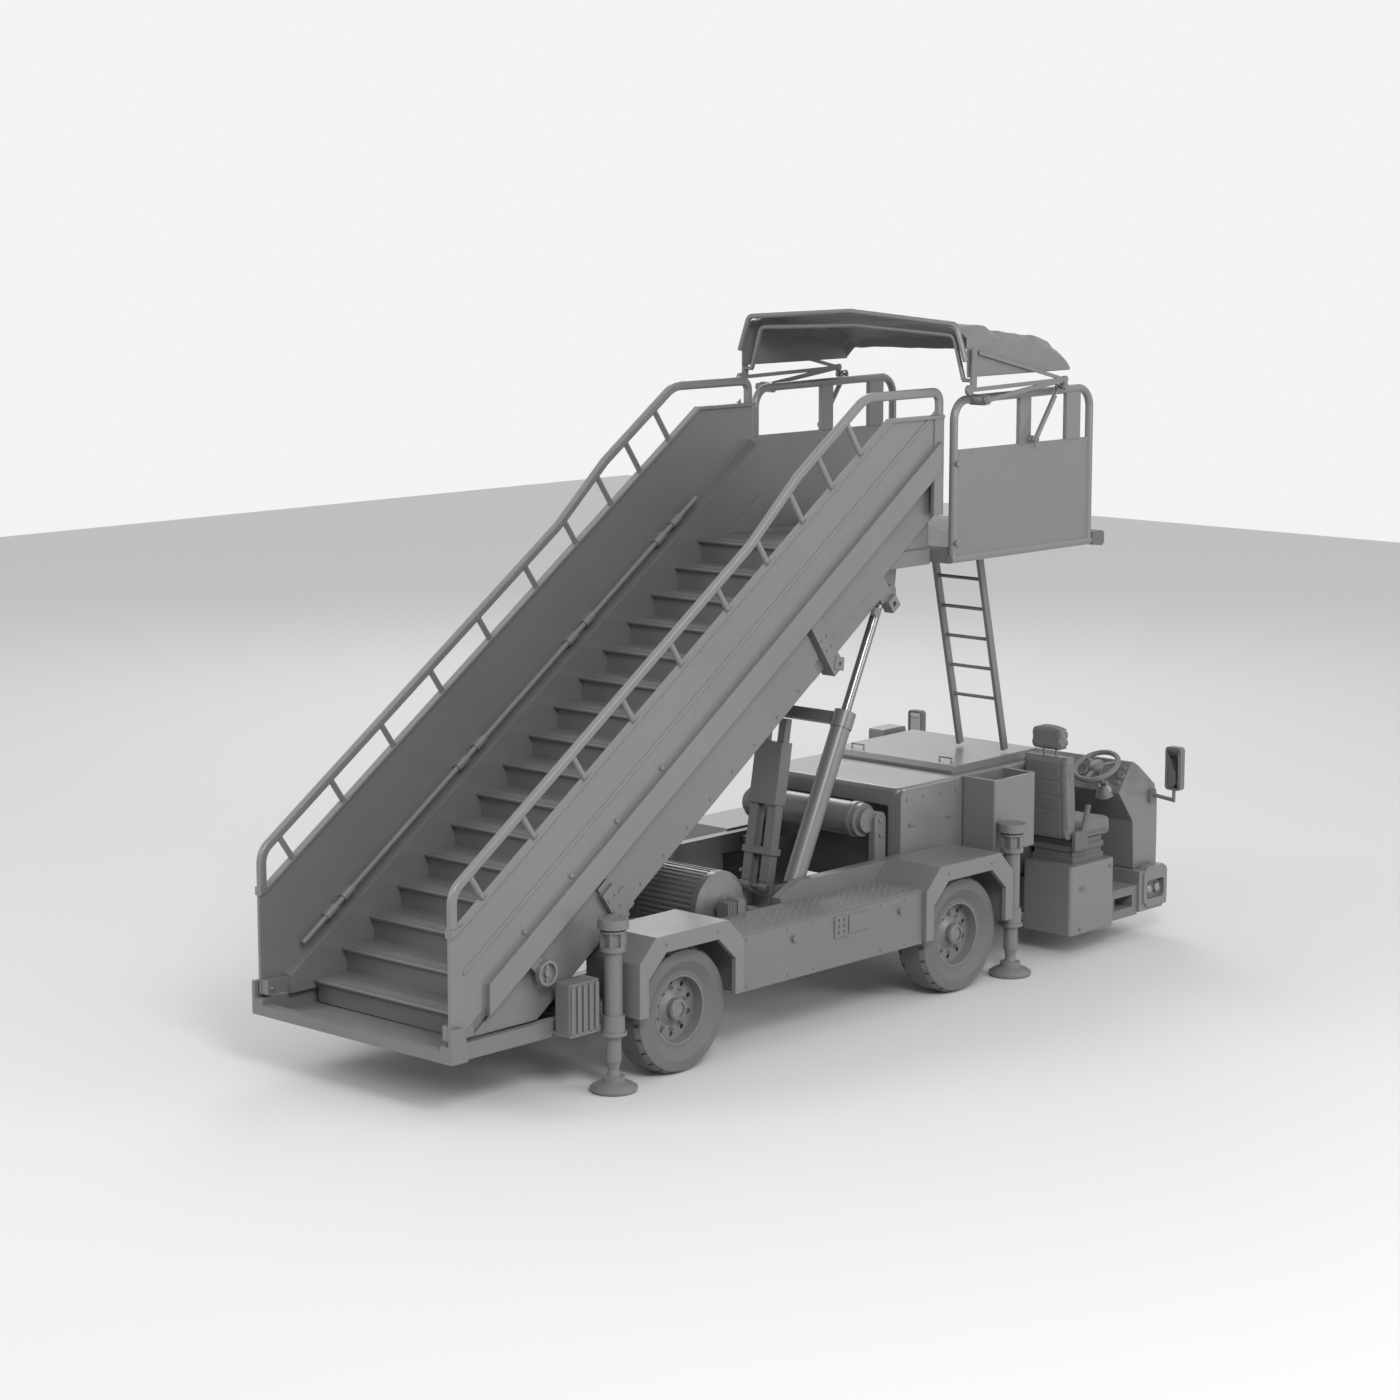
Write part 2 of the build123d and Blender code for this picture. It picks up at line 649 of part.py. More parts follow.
# Battery boxes with upright ribs, behind the rear jacks
with BuildPart() as battery_boxes:
    for side in SIDES:
        rounded(jack_rear_x - 385, jack_rear_x - 98, side * battery_inner, side * battery_outer,
                battery_shelf + fit_gap, battery_top, 14, facing="Z")
        for rib in range(5):
            rib_x = jack_rear_x - 378 + 57 * rib
            block(rib_x, rib_x + 34, side * (battery_outer - 5), side * (battery_outer + 15),
                  battery_shelf + fit_gap, battery_top - 15)
battery_boxes.part.label = "battery_boxes"
export_step(battery_boxes.part, "parts/battery_boxes.step")

# Air receiver: a ribbed drum with domed ends, on saddles
with BuildPart() as air_receiver:
    dome = [(0, -40), (110, -32), (drum_radius - 40, -10), (drum_radius, 20)]
    drum_profile = dome + [(drum_radius, drum_left - drum_right - 20)]
    drum_profile += [(drum_radius - 40, drum_left - drum_right + 10), (0, drum_left - drum_right + 25)]
    turned(drum_profile, (drum_x, drum_right, drum_z), (0, 1, 0))
    # Flutes round the shell between the two end bands
    fluted = drum_left - drum_right - 150
    with Locations(Plane(origin=(drum_x, (drum_left + drum_right) / 2, drum_z), z_dir=(0, 1, 0))):
        with PolarLocations(drum_radius + 5, flutes):
            Cylinder(13, fluted, mode=Mode.SUBTRACT)
    for y in (-rail_y - 22, -rail_y + 6, -60):
        block(drum_x - 160, drum_x + 160, y, y + 16, rail_high + fit_gap, drum_z - 190)
        block(drum_x - 60, drum_x + 60, y, y + 16, rail_high + fit_gap, drum_z - 190)
air_receiver.part.label = "air_receiver"
export_step(air_receiver.part, "parts/air_receiver.step")

# Transverse hydraulic reservoir with end brackets on the sills
with BuildPart() as reservoir:
    bar((tank_x, -tank_half, tank_z), (tank_x, tank_half, tank_z), tank_radius)
    for side in SIDES:
        bar((tank_x, side * (tank_half - 90), tank_z), (tank_x, side * (tank_half - 50), tank_z), tank_radius + 10)
        bar((tank_x, side * tank_half, tank_z), (tank_x, side * (tank_half + 45), tank_z), tank_radius - 35)
        block(tank_x + 35, tank_x + 165, side * (tank_half + 20), side * (tank_half + 80), sill_top - 90, tank_z - 5)
        block(tank_x + 35, tank_x + 165, side * (tank_half + 60), side * (sill_inner - fit_gap), sill_top - 90,
              sill_top - 30)
        bar((tank_x + 100, side * (tank_half + 20), tank_z - 5), (tank_x + 100, side * (tank_half + 80), tank_z - 5), 65)
        for bolt_z in (tank_z - 5, tank_z - 115):
            bar((tank_x + 100, side * (tank_half + 79), bolt_z), (tank_x + 100, side * (tank_half + 92), bolt_z), 19)
reservoir.part.label = "reservoir"
export_step(reservoir.part, "parts/reservoir.step")

# Engine under the hood, as one plain block
with BuildPart() as engine_block:
    block(hood_cavity_front_x + 90, hood_front_x - 250, -330, 330, rail_high + fit_gap, hood_top - 200)
    for mount_x in (hood_cavity_front_x + 200, hood_front_x - 360):
        block(mount_x - 50, mount_x + 50, -rail_y - 35, rail_y + 35, rail_high + fit_gap, rail_high + 70)
engine_block.part.label = "engine_block"
export_step(engine_block.part, "parts/engine_block.step")

# Hood: an engine cover, open under its rear lip, hollow round the engine
with BuildPart() as hood:
    block(hood_rear_x, hood_front_x - fit_gap, -hood_half, hood_half, hood_low, hood_top)
    fillet(hood.edges().filter_by(Axis.Z), 60)
    fillet(hood.faces().sort_by(Axis.Z)[-1].edges(), 35)
    block(hood_rear_x - 60, hood_cavity_front_x, -hood_half + 110, hood_half - 110, hood_low - 10,
          hood_top - hood_lip, mode=Mode.SUBTRACT)
    block(hood_cavity_front_x + 25, hood_front_x - fit_gap, -hood_skirt_half, hood_skirt_half,
          rail_high + fit_gap, hood_low + 5)
    block(hood_cavity_front_x + 50, hood_front_x - 40, -hood_skirt_half + 25, hood_skirt_half - 25, rail_high - 5,
          hood_top - 60, mode=Mode.SUBTRACT)
    # Thick side doors with rounded corners, proud of the hood
    for side in SIDES:
        door_front_x = bin_rear_x - moving_gap if side == RIGHT else stack_x - 200
        rounded(hood_rear_x, door_front_x, side * (hood_half - 40), side * (hood_half + door_proud),
                hood_low, hood_top - 12, 62)
hood.part.label = "hood"
export_step(hood.part, "parts/hood.step")

with BuildPart() as hood_lid:
    slab([(lid_rear_x, hood_top + fit_gap), (hood_front_x - 30, hood_top + fit_gap), (hood_front_x - 30, lid_top - 12),
          (hood_front_x - 70, lid_top), (lid_rear_x + 60, lid_top - 10), (lid_rear_x, lid_top - 45)],
         -lid_half, lid_half)
hood_lid.part.label = "hood_lid"
export_step(hood_lid.part, "parts/hood_lid.step")

# Air stack on the left of the hood, and the open tool bin on its right
with BuildPart() as air_stack:
    rounded(stack_x - 145, stack_x + 145, hood_half + fit_gap, hood_half + 160, hood_low, stack_top, 28)
    # Intake louvres down the outer face
    for louvre in range(7):
        z = hood_top - 60 * louvre
        slab([(stack_x - 105, z), (stack_x + 105, z), (stack_x + 105, z - 14), (stack_x - 105, z - 14)],
             hood_half + 146, hood_half + 161, mode=Mode.SUBTRACT)
air_stack.part.label = "air_stack"
export_step(air_stack.part, "parts/air_stack.step")

with BuildPart() as tool_bin:
    block(bin_rear_x, bin_rear_x + bin_length, -bin_face, -hood_half - fit_gap, hood_low, hood_top)
    fillet(tool_bin.edges().filter_by(Axis.Z), 20)
    block(bin_rear_x + bin_wall, bin_rear_x + bin_length - bin_wall, -bin_face + bin_wall, -hood_half - bin_wall,
          hood_top - bin_depth, hood_top + 1, mode=Mode.SUBTRACT)
tool_bin.part.label = "tool_bin"
export_step(tool_bin.part, "parts/tool_bin.step")

# Boxes on both sides of the cab floor; the right one carries the seat
with BuildPart() as pedestals:
    for side in SIDES:
        block(pedestal_rear_x, pedestal_front_x, side * pedestal_inner, side * pedestal_outer, pedestal_low,
              pedestal_top)
    fillet(pedestals.edges().filter_by(Axis.Z), 30)
    for side in SIDES:
        for x, z in ((pedestal_front_x - 50, pedestal_top - 60), (pedestal_rear_x + 130, pedestal_low + 45)):
            bar((x, side * (pedestal_outer - 5), z), (x, side * (pedestal_outer + 12), z), 17)
pedestals.part.label = "pedestals"
export_step(pedestals.part, "parts/pedestals.step")

# Cab floor with a step recess on each side
with BuildPart() as cab_floor:
    floor_rear_x = rail_front_x + bulkhead_plate + fit_gap
    block(floor_rear_x, pedestal_front_x + 20, -pedestal_inner + fit_gap, pedestal_inner - fit_gap, cab_floor_low,
          cab_floor_top)
    block(pedestal_front_x + fit_gap, bumper_rear_x - fit_gap, -cab_half, cab_half, cab_floor_low, cab_floor_top)
    for side in SIDES:
        block(pedestal_front_x + 70, bumper_rear_x - 70, side * (cab_half - 160), side * (cab_half + 1), 280, 380,
              mode=Mode.SUBTRACT)
cab_floor.part.label = "cab_floor"
export_step(cab_floor.part, "parts/cab_floor.step")

# Front bumper with lamp recesses at its corners
with BuildPart() as front_bumper:
    slab([(bumper_rear_x, bumper_low), (half_length - 70, bumper_low), (half_length, bumper_low + 60),
          (half_length, bumper_top - 30), (half_length - 20, bumper_top), (bumper_rear_x, bumper_top)],
         -bumper_half, bumper_half)
    for side in SIDES:
        # Raised lamp frame with cut corners, round a recess with two lamps
        x0, x1, low, high, cut = half_length - 340, half_length - 24, bumper_low + 25, bumper_top + 25, 50
        slab([(x0 + cut, low), (x1, low), (x1, high - cut), (x1 - cut, high), (x0 + cut, high), (x0, high - cut),
              (x0, low + cut)], side * (bumper_half - 60), side * (bumper_half + lamp_frame))
        rounded(half_length - 300, half_length - 60, side * (bumper_half - 35), side * (bumper_half + lamp_frame + 1),
                bumper_low + 90, bumper_top - 90, 30, mode=Mode.SUBTRACT)
        for lamp_x in (half_length - 235, half_length - 125):
            bar((lamp_x, side * (bumper_half - 40), 392), (lamp_x, side * (bumper_half - 12), 392), 42)
front_bumper.part.label = "front_bumper"
export_step(front_bumper.part, "parts/front_bumper.step")

# Console across the cab, with a sloping instrument top and a knee recess for the driver
console_rear = front_axle_x + 2200
column_length = 185
lean = radians(30)
column_dir = Vector(-sin(lean), 0, cos(lean))
centre = Vector(wheel_centre_x, seat_y, wheel_centre_z)
with BuildPart() as console:
    slab([(console_rear, 1220), (console_rear + 200, 960), (console_rear + 220, bumper_top + fit_gap),
          (half_length - 22, bumper_top + fit_gap), (half_length - 20, 830), (half_length - 24, 1100),
          (half_length - 60, 1230), (console_rear + 270, 1410), (console_rear + 180, 1460)],
         -console_half, console_half)
    fillet(console.edges().filter_by(Axis.Y), 12)
    with Locations(Plane(origin=centre - column_dir * (column_length + 90), z_dir=column_dir)):
        Cone(95, 42, 90, align=(Align.CENTER, Align.CENTER, Align.MIN))
    # Dials and push buttons, square to the sloping top; measured up the slope from its rear edge
    slope = Vector(180, 0, 240).normalized()
    out = Vector(-slope.Z, 0, slope.X)
    for up, y, radius, proud in ((158, -690, 46, 12), (158, -560, 46, 12), (225, -625, 30, 10), (160, -1070, 34, 14),
                                 (55, -640, 14, 16), (55, -580, 14, 16), (55, -520, 14, 16), (230, -1070, 16, 14),
                                 (90, -1075, 16, 18), (60, -1000, 14, 16)):
        spot = Vector(console_rear, y, 1220) + slope * up
        bar(spot - out * 5, spot + out * proud, radius)
console.part.label = "console"
export_step(console.part, "parts/console.step")

# Steering wheel on its column, leaning towards the driver
with BuildPart() as steering_wheel:
    with Locations(Plane(origin=centre, x_dir=(0, 1, 0), z_dir=column_dir)):
        Torus(steering_ring_radius, 15)
        Cylinder(45, 36)
        with PolarLocations(steering_ring_radius / 2, 3):
            Box(steering_ring_radius, 30, 10)
    bar(centre - column_dir * (column_length - fit_gap), centre, 22)
steering_wheel.part.label = "steering_wheel"
export_step(steering_wheel.part, "parts/steering_wheel.step")

# Driver's seat: suspension base, cushion and back with headrest
seat_right, seat_left = seat_y - seat_width / 2, seat_y + seat_width / 2
seat_back_x = front_axle_x + 1400
with BuildPart() as seat_base:
    for level in range(4):
        inset = 12 if level % 2 else 0
        block(seat_back_x + 120 + inset, seat_back_x + 530 - inset, seat_right + 20 + inset, seat_left - 20 - inset,
              pedestal_top + fit_gap + 45 * level, pedestal_top + fit_gap + 45 * level + 45)
    # Recliner cover and lever on the seat's right side
    lever_x, lever_y = seat_back_x + 175, seat_right - 30
    rounded(seat_back_x + 60, seat_back_x + 230, seat_right - 45, seat_right - 12, pedestal_top + 120, pedestal_top + 270, 22)
    block(seat_back_x + 135, seat_back_x + 200, seat_right - 20, seat_right + 40, pedestal_top + 125, pedestal_top + 160)
    beam((lever_x, lever_y, pedestal_top + 255), (lever_x + 75, lever_y, pedestal_top + 470), 26, 40)
seat_base.part.label = "seat_base"
export_step(seat_base.part, "parts/seat_base.step")

with BuildPart() as seat_cushion:
    cushion_low = pedestal_top + 180 + 2 * fit_gap
    cushion_rear_x = seat_back_x + 150
    block(cushion_rear_x, seat_back_x + 600, seat_right, seat_left, cushion_low, cushion_low + 150)
    fillet(seat_cushion.edges().filter_by(Axis.Y), 40)
seat_cushion.part.label = "seat_cushion"
export_step(seat_cushion.part, "parts/seat_cushion.step")

with BuildPart() as seat_back:
    back_low = cushion_low + 10
    slab([(cushion_rear_x - fit_gap, back_low), (cushion_rear_x - fit_gap, back_low + 150), (seat_back_x + 110, back_low + 690),
          (seat_back_x + 20, back_low + 690), (seat_back_x, back_low + 640), (seat_back_x + 40, back_low)],
         seat_right, seat_left)
    for y in (seat_y - 60, seat_y + 60):
        bar((seat_back_x + 65, y, back_low + 680), (seat_back_x + 60, y, back_low + 760), 8)
    rounded(seat_back_x + 15, seat_back_x + 105, seat_y - 125, seat_y + 125, back_low + 750, back_low + 910, 40,
            facing="X")
seat_back.part.label = "seat_back"
export_step(seat_back.part, "parts/seat_back.step")

# Mirrors on arms from both sides of the console
with BuildPart() as mirrors:
    for side in SIDES:
        block(half_length - 150, half_length - 70, side * (console_half + fit_gap), side * (console_half + 25), 1090, 1190)
        bar((half_length - 110, side * (console_half + 20), 1150), (half_length - 110, side * mirror_y, 1130), 16)
        bar((half_length - 110, side * mirror_y, 1115), (half_length - 110, side * mirror_y, 1240), 14)
        rounded(half_length - 135, half_length - 75, side * (mirror_y - 75), side * (mirror_y + 75), 1215, 1570, 30,
                facing="X")
        rounded(half_length - 136, half_length - 129, side * (mirror_y - 58), side * (mirror_y + 58), 1232, 1553, 20,
                facing="X", mode=Mode.SUBTRACT)
mirrors.part.label = "mirrors"
export_step(mirrors.part, "parts/mirrors.step")

# Flight frame: stringers, sleeve beams, cross members, landing frame, hinge blocks and lugs
flight_foot_x = rear_axle_x - 1760
with BuildPart() as flight_frame:
    for side in SIDES:
        web_in, web_out = side * stringer_inner, side * (stringer_inner + stringer_web)
        ledge_out = side * (panel_outer - panel_sheet - fit_gap)
        low_end = meets(flight_foot_z, stringer_low)
        slab([(flight_foot_x, flight_foot_z), low_end, above(landing_front_x, stringer_low),
              above(landing_front_x, stringer_top), above(flight_foot_x, stringer_top)], web_in, web_out)
        slab([meets(flight_foot_z, stringer_groove_low), low_end, along(sleeve_end, stringer_low),
              along(sleeve_end, stringer_groove_low)], web_out - side, side * stringer_outer)
        slab([above(flight_foot_x, stringer_groove_high), above(landing_front_x, stringer_groove_high),
              above(landing_front_x, stringer_top), above(flight_foot_x, stringer_top)], web_out - side, ledge_out)
        slab([meets(flight_foot_z, stringer_low + 1), meets(flight_foot_z, sleeve_low),
              along(sleeve_end - 65, sleeve_low), along(sleeve_end - 65, stringer_low + 1)],
             web_in, side * stringer_outer)
        # Upper beam that runs on out of the sleeve
        slab(strip(sleeve_end - 120, upper_beam_end, upper_beam_low, stringer_low + 1), web_in, web_out - side * 6)
        # Guide bracket across the sleeve's end: a bar square to the slope, a shoe under the beam and an eye
        guide_end = guide_start + guide_length
        slab(strip(guide_start, guide_end, guide_bar_low, side_bar_low - 4), web_out - side, side * guide_out)
        slab(strip(guide_start, guide_end, guide_shoe_low, upper_beam_low - 3), web_in, side * guide_out)
        slab(strip(guide_start, guide_end, upper_beam_low - 4, guide_bar_low + 1), web_out + side, side * guide_out)
        eye_place = guide_start + 90
        slab([along(eye_place - 65, guide_eye + 6), along(eye_place, guide_eye - 69), along(eye_place + 65, guide_eye + 6),
              along(eye_place, guide_eye + 78)], side * (guide_out - 40), side * (guide_out + 8))
        eye_x, eye_z = along(eye_place, guide_eye)
        bar((eye_x, side * (stringer_inner - 10), eye_z), (eye_x, side * (guide_out + 10), eye_z), guide_eye_radius,
            mode=Mode.SUBTRACT)
        # Cradle saddle where the sleeve rests on the chassis, and its stiffening plate
        cradle_end = cradle_start + cradle_length
        slab(strip(cradle_start, cradle_end, sleeve_low - 10, -30), side * (stringer_outer - 1),
             side * (stringer_outer + 48))
        slab(strip(cradle_start + 10, cradle_end - 10, -31, 20), side * (stringer_outer - 1),
             side * (stringer_outer + 22))
        slab(strip(cradle_end - 1, cradle_end + 100, sleeve_low - 10, -150), side * (stringer_outer - 1),
             side * (stringer_outer + 12))
        slab(strip(cradle_start, cradle_end + 100, sleeve_low - 10, sleeve_low + 1), web_in,
             side * (stringer_outer + 12))
        # Square eye and bolt boss on the upper beam
        eye_mid = (upper_eye_start + upper_eye_end) / 2
        slab(strip(upper_eye_start, upper_eye_end, -500, -395), web_in, side * (stringer_outer + 5))
        slab(strip(upper_beam_end - 1, upper_eye_end, -396, stringer_low + 1), web_in, web_out - side * 6)
        eye_x, eye_z = along(eye_mid, -450)
        bar((eye_x, side * (stringer_outer - 30), eye_z), (eye_x, side * (stringer_outer + 6), eye_z),
            upper_eye_radius, mode=Mode.SUBTRACT)
        boss_x, boss_z = along(upper_eye_start - 130, -380)
        bar((boss_x, web_out - side * 15, boss_z), (boss_x, side * (stringer_outer - 5), boss_z), upper_boss_radius)
        # Hinge block at the foot, bored for the pin
        block(flight_pivot_x - 38, flight_foot_x + 40, side * (stringer_inner + 40), ledge_out,
              flight_foot_z + 12, flight_pivot_z + 60)
        bar((flight_pivot_x, side * (stringer_inner + 30), flight_pivot_z),
            (flight_pivot_x, side * panel_outer, flight_pivot_z), pivot_radius + bearing_gap, mode=Mode.SUBTRACT)
        # Landing beams and the lugs for the lift rods
        block(first_nosing_x + (step_count - 1) * step_going + nosing_overhang + tread_sheet + 8, landing_front_x,
              side * (stringer_inner - 70), side * (stringer_inner + 15), landing_beam_low,
              platform_floor_z - tread_sheet - fit_gap)
        for lug_y in (cylinder_y - 62, cylinder_y + 42):
            slab([(cylinder_eye_x - 90, landing_beam_low + 5), (cylinder_eye_x - 65, cylinder_eye_z - 30),
                  (cylinder_eye_x - 35, cylinder_eye_z - 65), (cylinder_eye_x + 35, cylinder_eye_z - 65),
                  (cylinder_eye_x + 65, cylinder_eye_z - 30), (cylinder_eye_x + 90, landing_beam_low + 5)],
                 side * lug_y, side * (lug_y + 20))
        bar((cylinder_eye_x, side * (cylinder_y - 70), cylinder_eye_z),
            (cylinder_eye_x, side * (cylinder_y + 70), cylinder_eye_z), lift_pin_radius + lift_pin_play,
            mode=Mode.SUBTRACT)
        # Hinge lugs for the platform
        slab([(landing_front_x - 10, landing_beam_low), (hinge_x, hinge_z - hinge_eye),
              (hinge_x + hinge_eye * 0.8, hinge_z - hinge_eye * 0.6), (hinge_x + hinge_eye, hinge_z),
              (hinge_x, hinge_z + hinge_eye), (landing_front_x - 10, hinge_z + hinge_eye)],
             side * 650, side * 685)
        bar((hinge_x, side * 640, hinge_z), (hinge_x, side * 695, hinge_z), pivot_radius + bearing_gap,
            mode=Mode.SUBTRACT)
    inner = stringer_inner - 60
    block(landing_front_x - 60, landing_front_x, -inner, inner, landing_beam_low, platform_floor_z - tread_sheet - fit_gap)
    block(cylinder_eye_x - 90, cylinder_eye_x + 90, -inner, inner, landing_beam_low,
          platform_floor_z - tread_sheet - fit_gap)
    for step in range(1, step_count - 1, 3):
        riser_back = first_nosing_x + step * step_going + nosing_overhang + tread_sheet
        tread_under = first_nosing_z + step * step_rise - tread_sheet - fit_gap
        block(riser_back + 15, riser_back + 95, -stringer_inner - 5, stringer_inner + 5, tread_under - 60, tread_under)
flight_frame.part.label = "flight_frame"
export_step(flight_frame.part, "parts/flight_frame.step")

# Side panels of the flight with their top flange, end post and outer bar
panel_rear_x = rear_axle_x - 1950
panel_front_x = landing_front_x
rail_foot_front_x, rail_foot_z = above(panel_rear_x + handrail_depth + 5, panel_high)
with BuildPart() as side_panels:
    for side in SIDES:
        inner, outer = side * (panel_outer - panel_sheet), side * panel_outer
        slab([(panel_rear_x, flight_foot_z + 10), meets(flight_foot_z + 10, panel_low),
              above(panel_front_x, panel_low), (panel_front_x, panel_top_z), meets(panel_top_z, panel_high),
              (rail_foot_front_x, rail_foot_z), (panel_rear_x, rail_foot_z)], inner, outer)
        flange_y0, flange_y1 = inner - side * (flange_half - 10), outer + side * (flange_half - 10)
        slab([(panel_rear_x, rail_foot_z - 60), (panel_rear_x, rail_foot_z), (rail_foot_front_x, rail_foot_z),
              meets(panel_top_z, panel_high),
              (panel_front_x, panel_top_z), (panel_front_x, panel_top_z - 27),
              meets(panel_top_z - 27, panel_high - 22), above(panel_rear_x + 60, panel_high - 22)],
             flange_y0, flange_y1)
        slab([above(side_bar_rear_x, side_bar_low), above(panel_front_x - 60, side_bar_low),
              above(panel_front_x - 60, side_bar_high), above(side_bar_rear_x, side_bar_high)],
             outer - side * 2, side * side_bar_out)
        block(panel_front_x - panel_post, panel_front_x, inner, outer + side * 12, 3640, panel_top_z - 10)
        # Bead along the panel, knobs above the bar and the guide roller below it
        slab([above(panel_rear_x + 120, bead_low), above(panel_front_x - panel_post + 5, bead_low),
              above(panel_front_x - panel_post + 5, bead_high), above(panel_rear_x + 120, bead_high)],
             outer - side, outer + side * 7)
        for place in range(4):
            knob_x, knob_z = along(564 + knob_spacing * place, side_bar_high + 35)
            bar((knob_x, outer - side * 2, knob_z), (knob_x, outer + side * 16, knob_z), 17)
        slab([along(roller_along - 75, side_bar_low + 5), along(roller_along + 25, side_bar_low + 5),
              along(roller_along + 50, roller_offset), along(roller_along - 50, roller_offset)],
             outer - side, outer + side * 20)
        hub_x, hub_z = along(roller_along, roller_offset)
        bar((hub_x, outer + side * 15, hub_z), (hub_x, outer + side * 60, hub_z), roller_radius)
        bar((hub_x, outer + side * 32, hub_z), (hub_x, outer + side * 61, hub_z), roller_radius - 20, mode=Mode.SUBTRACT)
        bar((hub_x, outer + side * 30, hub_z), (hub_x, outer + side * 54, hub_z), 25)
        block(hub_x - 12, hub_x + 12, outer + side * 31, outer + side * 46, hub_z - roller_radius + 10,
              hub_z + roller_radius - 10)
        bar((flight_pivot_x, side * (panel_outer - panel_sheet - 5), flight_pivot_z),
            (flight_pivot_x, side * (panel_outer + 5), flight_pivot_z), pivot_radius + bearing_gap, mode=Mode.SUBTRACT)
side_panels.part.label = "side_panels"
export_step(side_panels.part, "parts/side_panels.step")

# Handrails: a bent flat-sided tube each side
support_sites = [rear_axle_x - 1640 + 480 * place for place in range(6)]
support_sites += [rear_axle_x + 1180, rear_axle_x + 1560, rear_axle_x + 1880, rear_axle_x + 2200]
handrail_change = (rear_axle_x + 1000, rear_axle_x + 1500)


def rail_offset(x):
    """Square distance of the handrail's centre line above the nosing at x."""
    share = (x - handrail_change[0]) / (handrail_change[1] - handrail_change[0])
    return handrail_low + (handrail_high - handrail_low) * min(max(share, 0), 1)


rail_foot_x = panel_rear_x + handrail_depth / 2
rail_end_x = rear_axle_x + 3115
handrail_sites = [side * (panel_outer - panel_sheet / 2) for side in SIDES]


def handrail_tube(y, play=0, mode=Mode.ADD):
    """Handrail on one side, wider all round by the play where it cuts."""
    route = [(rail_foot_x, rail_foot_z + fit_gap), above(rail_foot_x, handrail_low),
             above(handrail_change[0], handrail_low), above(handrail_change[1], handrail_high),
             meets(handrail_top, handrail_high), (rail_end_x, handrail_top), (rail_end_x, panel_top_z + fit_gap)]
    bent_tube([(x, y, z) for x, z in route], (160, 500, 500, 260, 75), width=handrail_width + 2 * play,
              depth=handrail_depth + 2 * play, corner=20 + play, mode=mode)


with BuildPart() as handrails:
    for y in handrail_sites:
        handrail_tube(y)
handrails.part.label = "handrails"
export_step(handrails.part, "parts/handrails.step")

# Short supports that carry the handrails on the flange of the side panels, coped to the tube
with BuildPart() as rail_supports:
    for y in handrail_sites:
        for support_x in support_sites:
            foot_x, foot_z = above(support_x, panel_high + fit_gap)
            reach = rail_offset(support_x) - panel_high
            bar((foot_x, y, foot_z), (foot_x - sin(pitch) * reach, y, foot_z + cos(pitch) * reach), support_radius)
        handrail_tube(y, play=fit_gap, mode=Mode.SUBTRACT)
rail_supports.part.label = "rail_supports"
export_step(rail_supports.part, "parts/rail_supports.step")

# Inner rails along the foot of the side panels, in bracket collars
collar_sites = (-1340, -1180, -60, 120, 1080, 1260, 2040, 2220)
with BuildPart() as inner_rails:
    for side in SIDES:
        start_x, start_z = above(rear_axle_x - 1600, inner_rail_offset)
        end_x, end_z = above(rear_axle_x + 2450, inner_rail_offset)
        bar((start_x, side * inner_rail_y, start_z), (end_x, side * inner_rail_y, end_z), inner_rail_radius)
        for place in collar_sites:
            x0, z0 = above(rear_axle_x + place - 45, inner_rail_offset)
            x1, z1 = above(rear_axle_x + place + 45, inner_rail_offset)
            bar((x0, side * inner_rail_y, z0), (x1, side * inner_rail_y, z1), 32)
            wall_y = side * (panel_outer - panel_sheet - fit_gap)
            centre_y = (side * inner_rail_y + wall_y) / 2
            beam((x0, centre_y, z0), (x1, centre_y, z1), abs(wall_y - side * inner_rail_y), 34)
inner_rails.part.label = "inner_rails"
export_step(inner_rails.part, "parts/inner_rails.step")

# Steps: one folded plate, bull-nosed at each step, running on as the landing
with BuildPart() as steps:
    step_foot = entry_floor + moving_gap
    nose_round = nosing_depth / 2
    with BuildSketch(Plane.XZ.offset(-stringer_inner + fit_gap)) as fold:
        with BuildLine():
            front = (first_nosing_x + nosing_overhang, step_foot)
            start = front
            for step in range(step_count):
                nose_x, nose_z = first_nosing_x + step * step_going, first_nosing_z + step * step_rise
                riser_x = nose_x + nosing_overhang
                last = step == step_count - 1
                tread_end = landing_front_x if last else riser_x + step_going
                Polyline(front, (riser_x, nose_z - nosing_depth), (nose_x + nose_round, nose_z - nosing_depth))
                ThreePointArc((nose_x + nose_round, nose_z - nosing_depth), (nose_x, nose_z - nose_round),
                              (nose_x + nose_round, nose_z))
                Line((nose_x + nose_round, nose_z), (tread_end, nose_z))
                front = (tread_end, nose_z)
            under = [front, (front[0], front[1] - tread_sheet)]
            for step in reversed(range(step_count)):
                back_x = first_nosing_x + step * step_going + nosing_overhang + tread_sheet
                under.append((back_x, first_nosing_z + step * step_rise - tread_sheet))
                low_z = first_nosing_z + (step - 1) * step_rise - tread_sheet if step else step_foot
                under.append((back_x, low_z))
            Polyline(*under, start)
        make_face()
    extrude(fold.sketch, amount=2 * (stringer_inner - fit_gap))
steps.part.label = "steps"
export_step(steps.part, "parts/steps.step")

